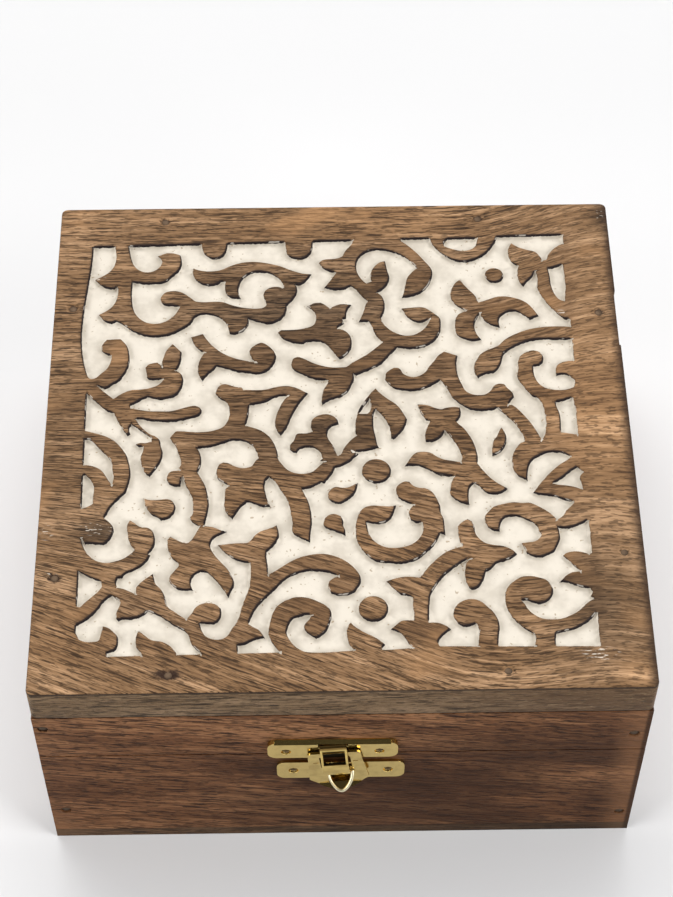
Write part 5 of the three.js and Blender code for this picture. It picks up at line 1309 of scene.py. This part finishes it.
def hasp_finish():
    """Brass, brown on the knuckle round the pin, and painted shade, nearly black, in the hollow
    behind the window."""
    material, tree = new_finish("hasp_brass")
    place = object_place(tree)
    x, y, z = split(place)
    across, up = x - PIN[0] * MM, z - PIN[2] * MM
    u = across * math.cos(HASP_LEAN) + up * math.sin(HASP_LEAN)
    v = up * math.cos(HASP_LEAN) - across * math.sin(HASP_LEAN)
    hollow = hollow_mask(u, v, FRONT_FACE * MM - y)
    knuckle = step(v, *KNUCKLE)
    clouded = mix(spots(place, *HASP_CLOUDS), BRASS, BRASS_DULL)
    # Painted shade: the hollow behind the window is nearly black.
    colour = mix(hollow, mix(knuckle * 0.8, clouded, KNUCKLE_COLOUR), HOLLOW_SHADE)
    gloss = 0.13 + 0.5 * hollow + 0.1 * knuckle
    set_surface(tree, Base_Color=colour, Roughness=gloss, Metallic=1.0)
    return material


softened("hasp", BRASS_EDGE, hasp_finish())
# The bead is painted paler than the rest of the brass: a painted highlight.
lip_bead(metal_finish("highlit_bead_brass", HIGHLIT_BEAD_BRASS, BRASS, 0.32))

# %% [markdown]
# ## Nails
#
# Each nail is a turned shape: a low domed head on a round shank. Its profile is carried once
# round the nail's own axis.

# %% Nails
NAIL_SIDES = 20
NAIL_SUNK = 0.3
POINT_LENGTH = 1.2
HEAD_SHARES = (0, 0.35, 0.7, 0.92, 1, 0.9, 0.5)
HEAD_DROPS = (0, 0.02, 0.08, 0.18, 0.32, 0.42, 0.46)


def nail_axis(name):
    """Where the head's middle lies, in millimetres, and the way the nail points."""
    low, high = (np.array(corner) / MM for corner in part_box(name))
    centre = (low + high) / 2
    if name.startswith("lid_nail"):
        return np.array([centre[0], centre[1], high[2]]), np.array([0, 0, -1.0])
    if name.startswith("base_nail"):
        return np.array([centre[0], centre[1], low[2]]), np.array([0, 0, 1.0])
    if "back_nail" in name:
        return np.array([centre[0], high[1], centre[2]]), np.array([0, -1.0, 0])
    return np.array([centre[0], low[1], centre[2]]), np.array([0, 1.0, 0])


def brad_profile(head, length, sunk):
    """From the middle of the dome over the rim to the point. Heights fall from 0 at the top."""
    dome = [(head * share, -sunk - drop) for share, drop in zip(HEAD_SHARES, HEAD_DROPS)]
    return [*dome, (head * HEAD_SHARES[-1], POINT_LENGTH - length), (0, -length)]


def driven_nail(name, material, sunk):
    """A turned nail in the place of a CAD node, of the same length and width of head."""
    low, high = (np.array(corner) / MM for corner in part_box(name))
    top, direction = nail_axis(name)
    head = (high - low)[direction == 0].min() / 2
    length = (high - low)[direction != 0][0]
    points = turned(brad_profile(head, length, sunk), NAIL_SIDES)
    turn = Vector((0, 0, -1)).rotation_difference(Vector(direction)).to_matrix()
    points = points @ np.array(turn).T + top
    faces = grid_faces(points.shape[0], NAIL_SIDES, wrap=True)
    piece = cleaned(new_object(name + "_driven", points * MM, faces, material), 1e-6)
    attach(piece, body_of(name))
    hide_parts(name)


for name in sorted(frame["nodes"]):
    if name.startswith("catch_") and "nail" in name:
        driven_nail(name, shaded_nail_brass, 0.0)
    elif "nail" in name:
        driven_nail(name, steel, NAIL_SUNK)

# %% [markdown]
# ## Felt
#
# A thin sheet of felt lies on the base board. It is a grid with a little waviness, made a sheet
# with Solidify; the fuzz is a fine noise in colour and bump.

# %% Felt
FELT_THICKNESS = 0.8
FELT_LIFT = 0.1
FELT_WAVE = {"seed": 5, "cell": 30, "height": 0.04}
FELT_GRID = (67, 68)
FELT = (0.17, 0.018, 0.03)
FELT_DARK = (0.07, 0.008, 0.014)


def felt_sheet():
    """A grid over the liner's box: level, with waves of a tenth of a millimetre."""
    low, high = (np.array(corner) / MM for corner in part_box("felt_liner"))
    along_each = [np.linspace(low[i], high[i], FELT_GRID[i]) for i in range(2)]
    x, y = np.meshgrid(*along_each, indexing="ij")
    wave = waves(x, y, FELT_WAVE["seed"], FELT_WAVE["cell"])
    z = low[2] + FELT_LIFT + FELT_THICKNESS + FELT_WAVE["height"] * (wave - 1)
    return np.stack([x, y, z], axis=-1)


def felt_finish():
    material, tree = new_finish("felt")
    place = object_place(tree)
    fuzz = noise(place, 2200, detail=5, roughness=0.7)
    cloud = noise(place, 60, detail=2)
    colour = mix(fuzz * 0.7 + cloud * 0.3, FELT_DARK, FELT)
    set_surface(
        tree, fuzz, 0.0003,
        Base_Color=colour, Roughness=0.95, Sheen_Weight=0.3, Specular_IOR_Level=0.1,
    )
    return material


points = felt_sheet()
felt = new_object("felt_sheet", points * MM, grid_faces(*points.shape[:2]), felt_finish())
if felt.data.polygons[0].normal.z < 0:
    felt.data.flip_normals()
thicken = felt.modifiers.new("thickness", "SOLIDIFY")
thicken.thickness = FELT_THICKNESS * MM
thicken.offset = -1
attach(felt, "body")
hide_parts("felt_liner")
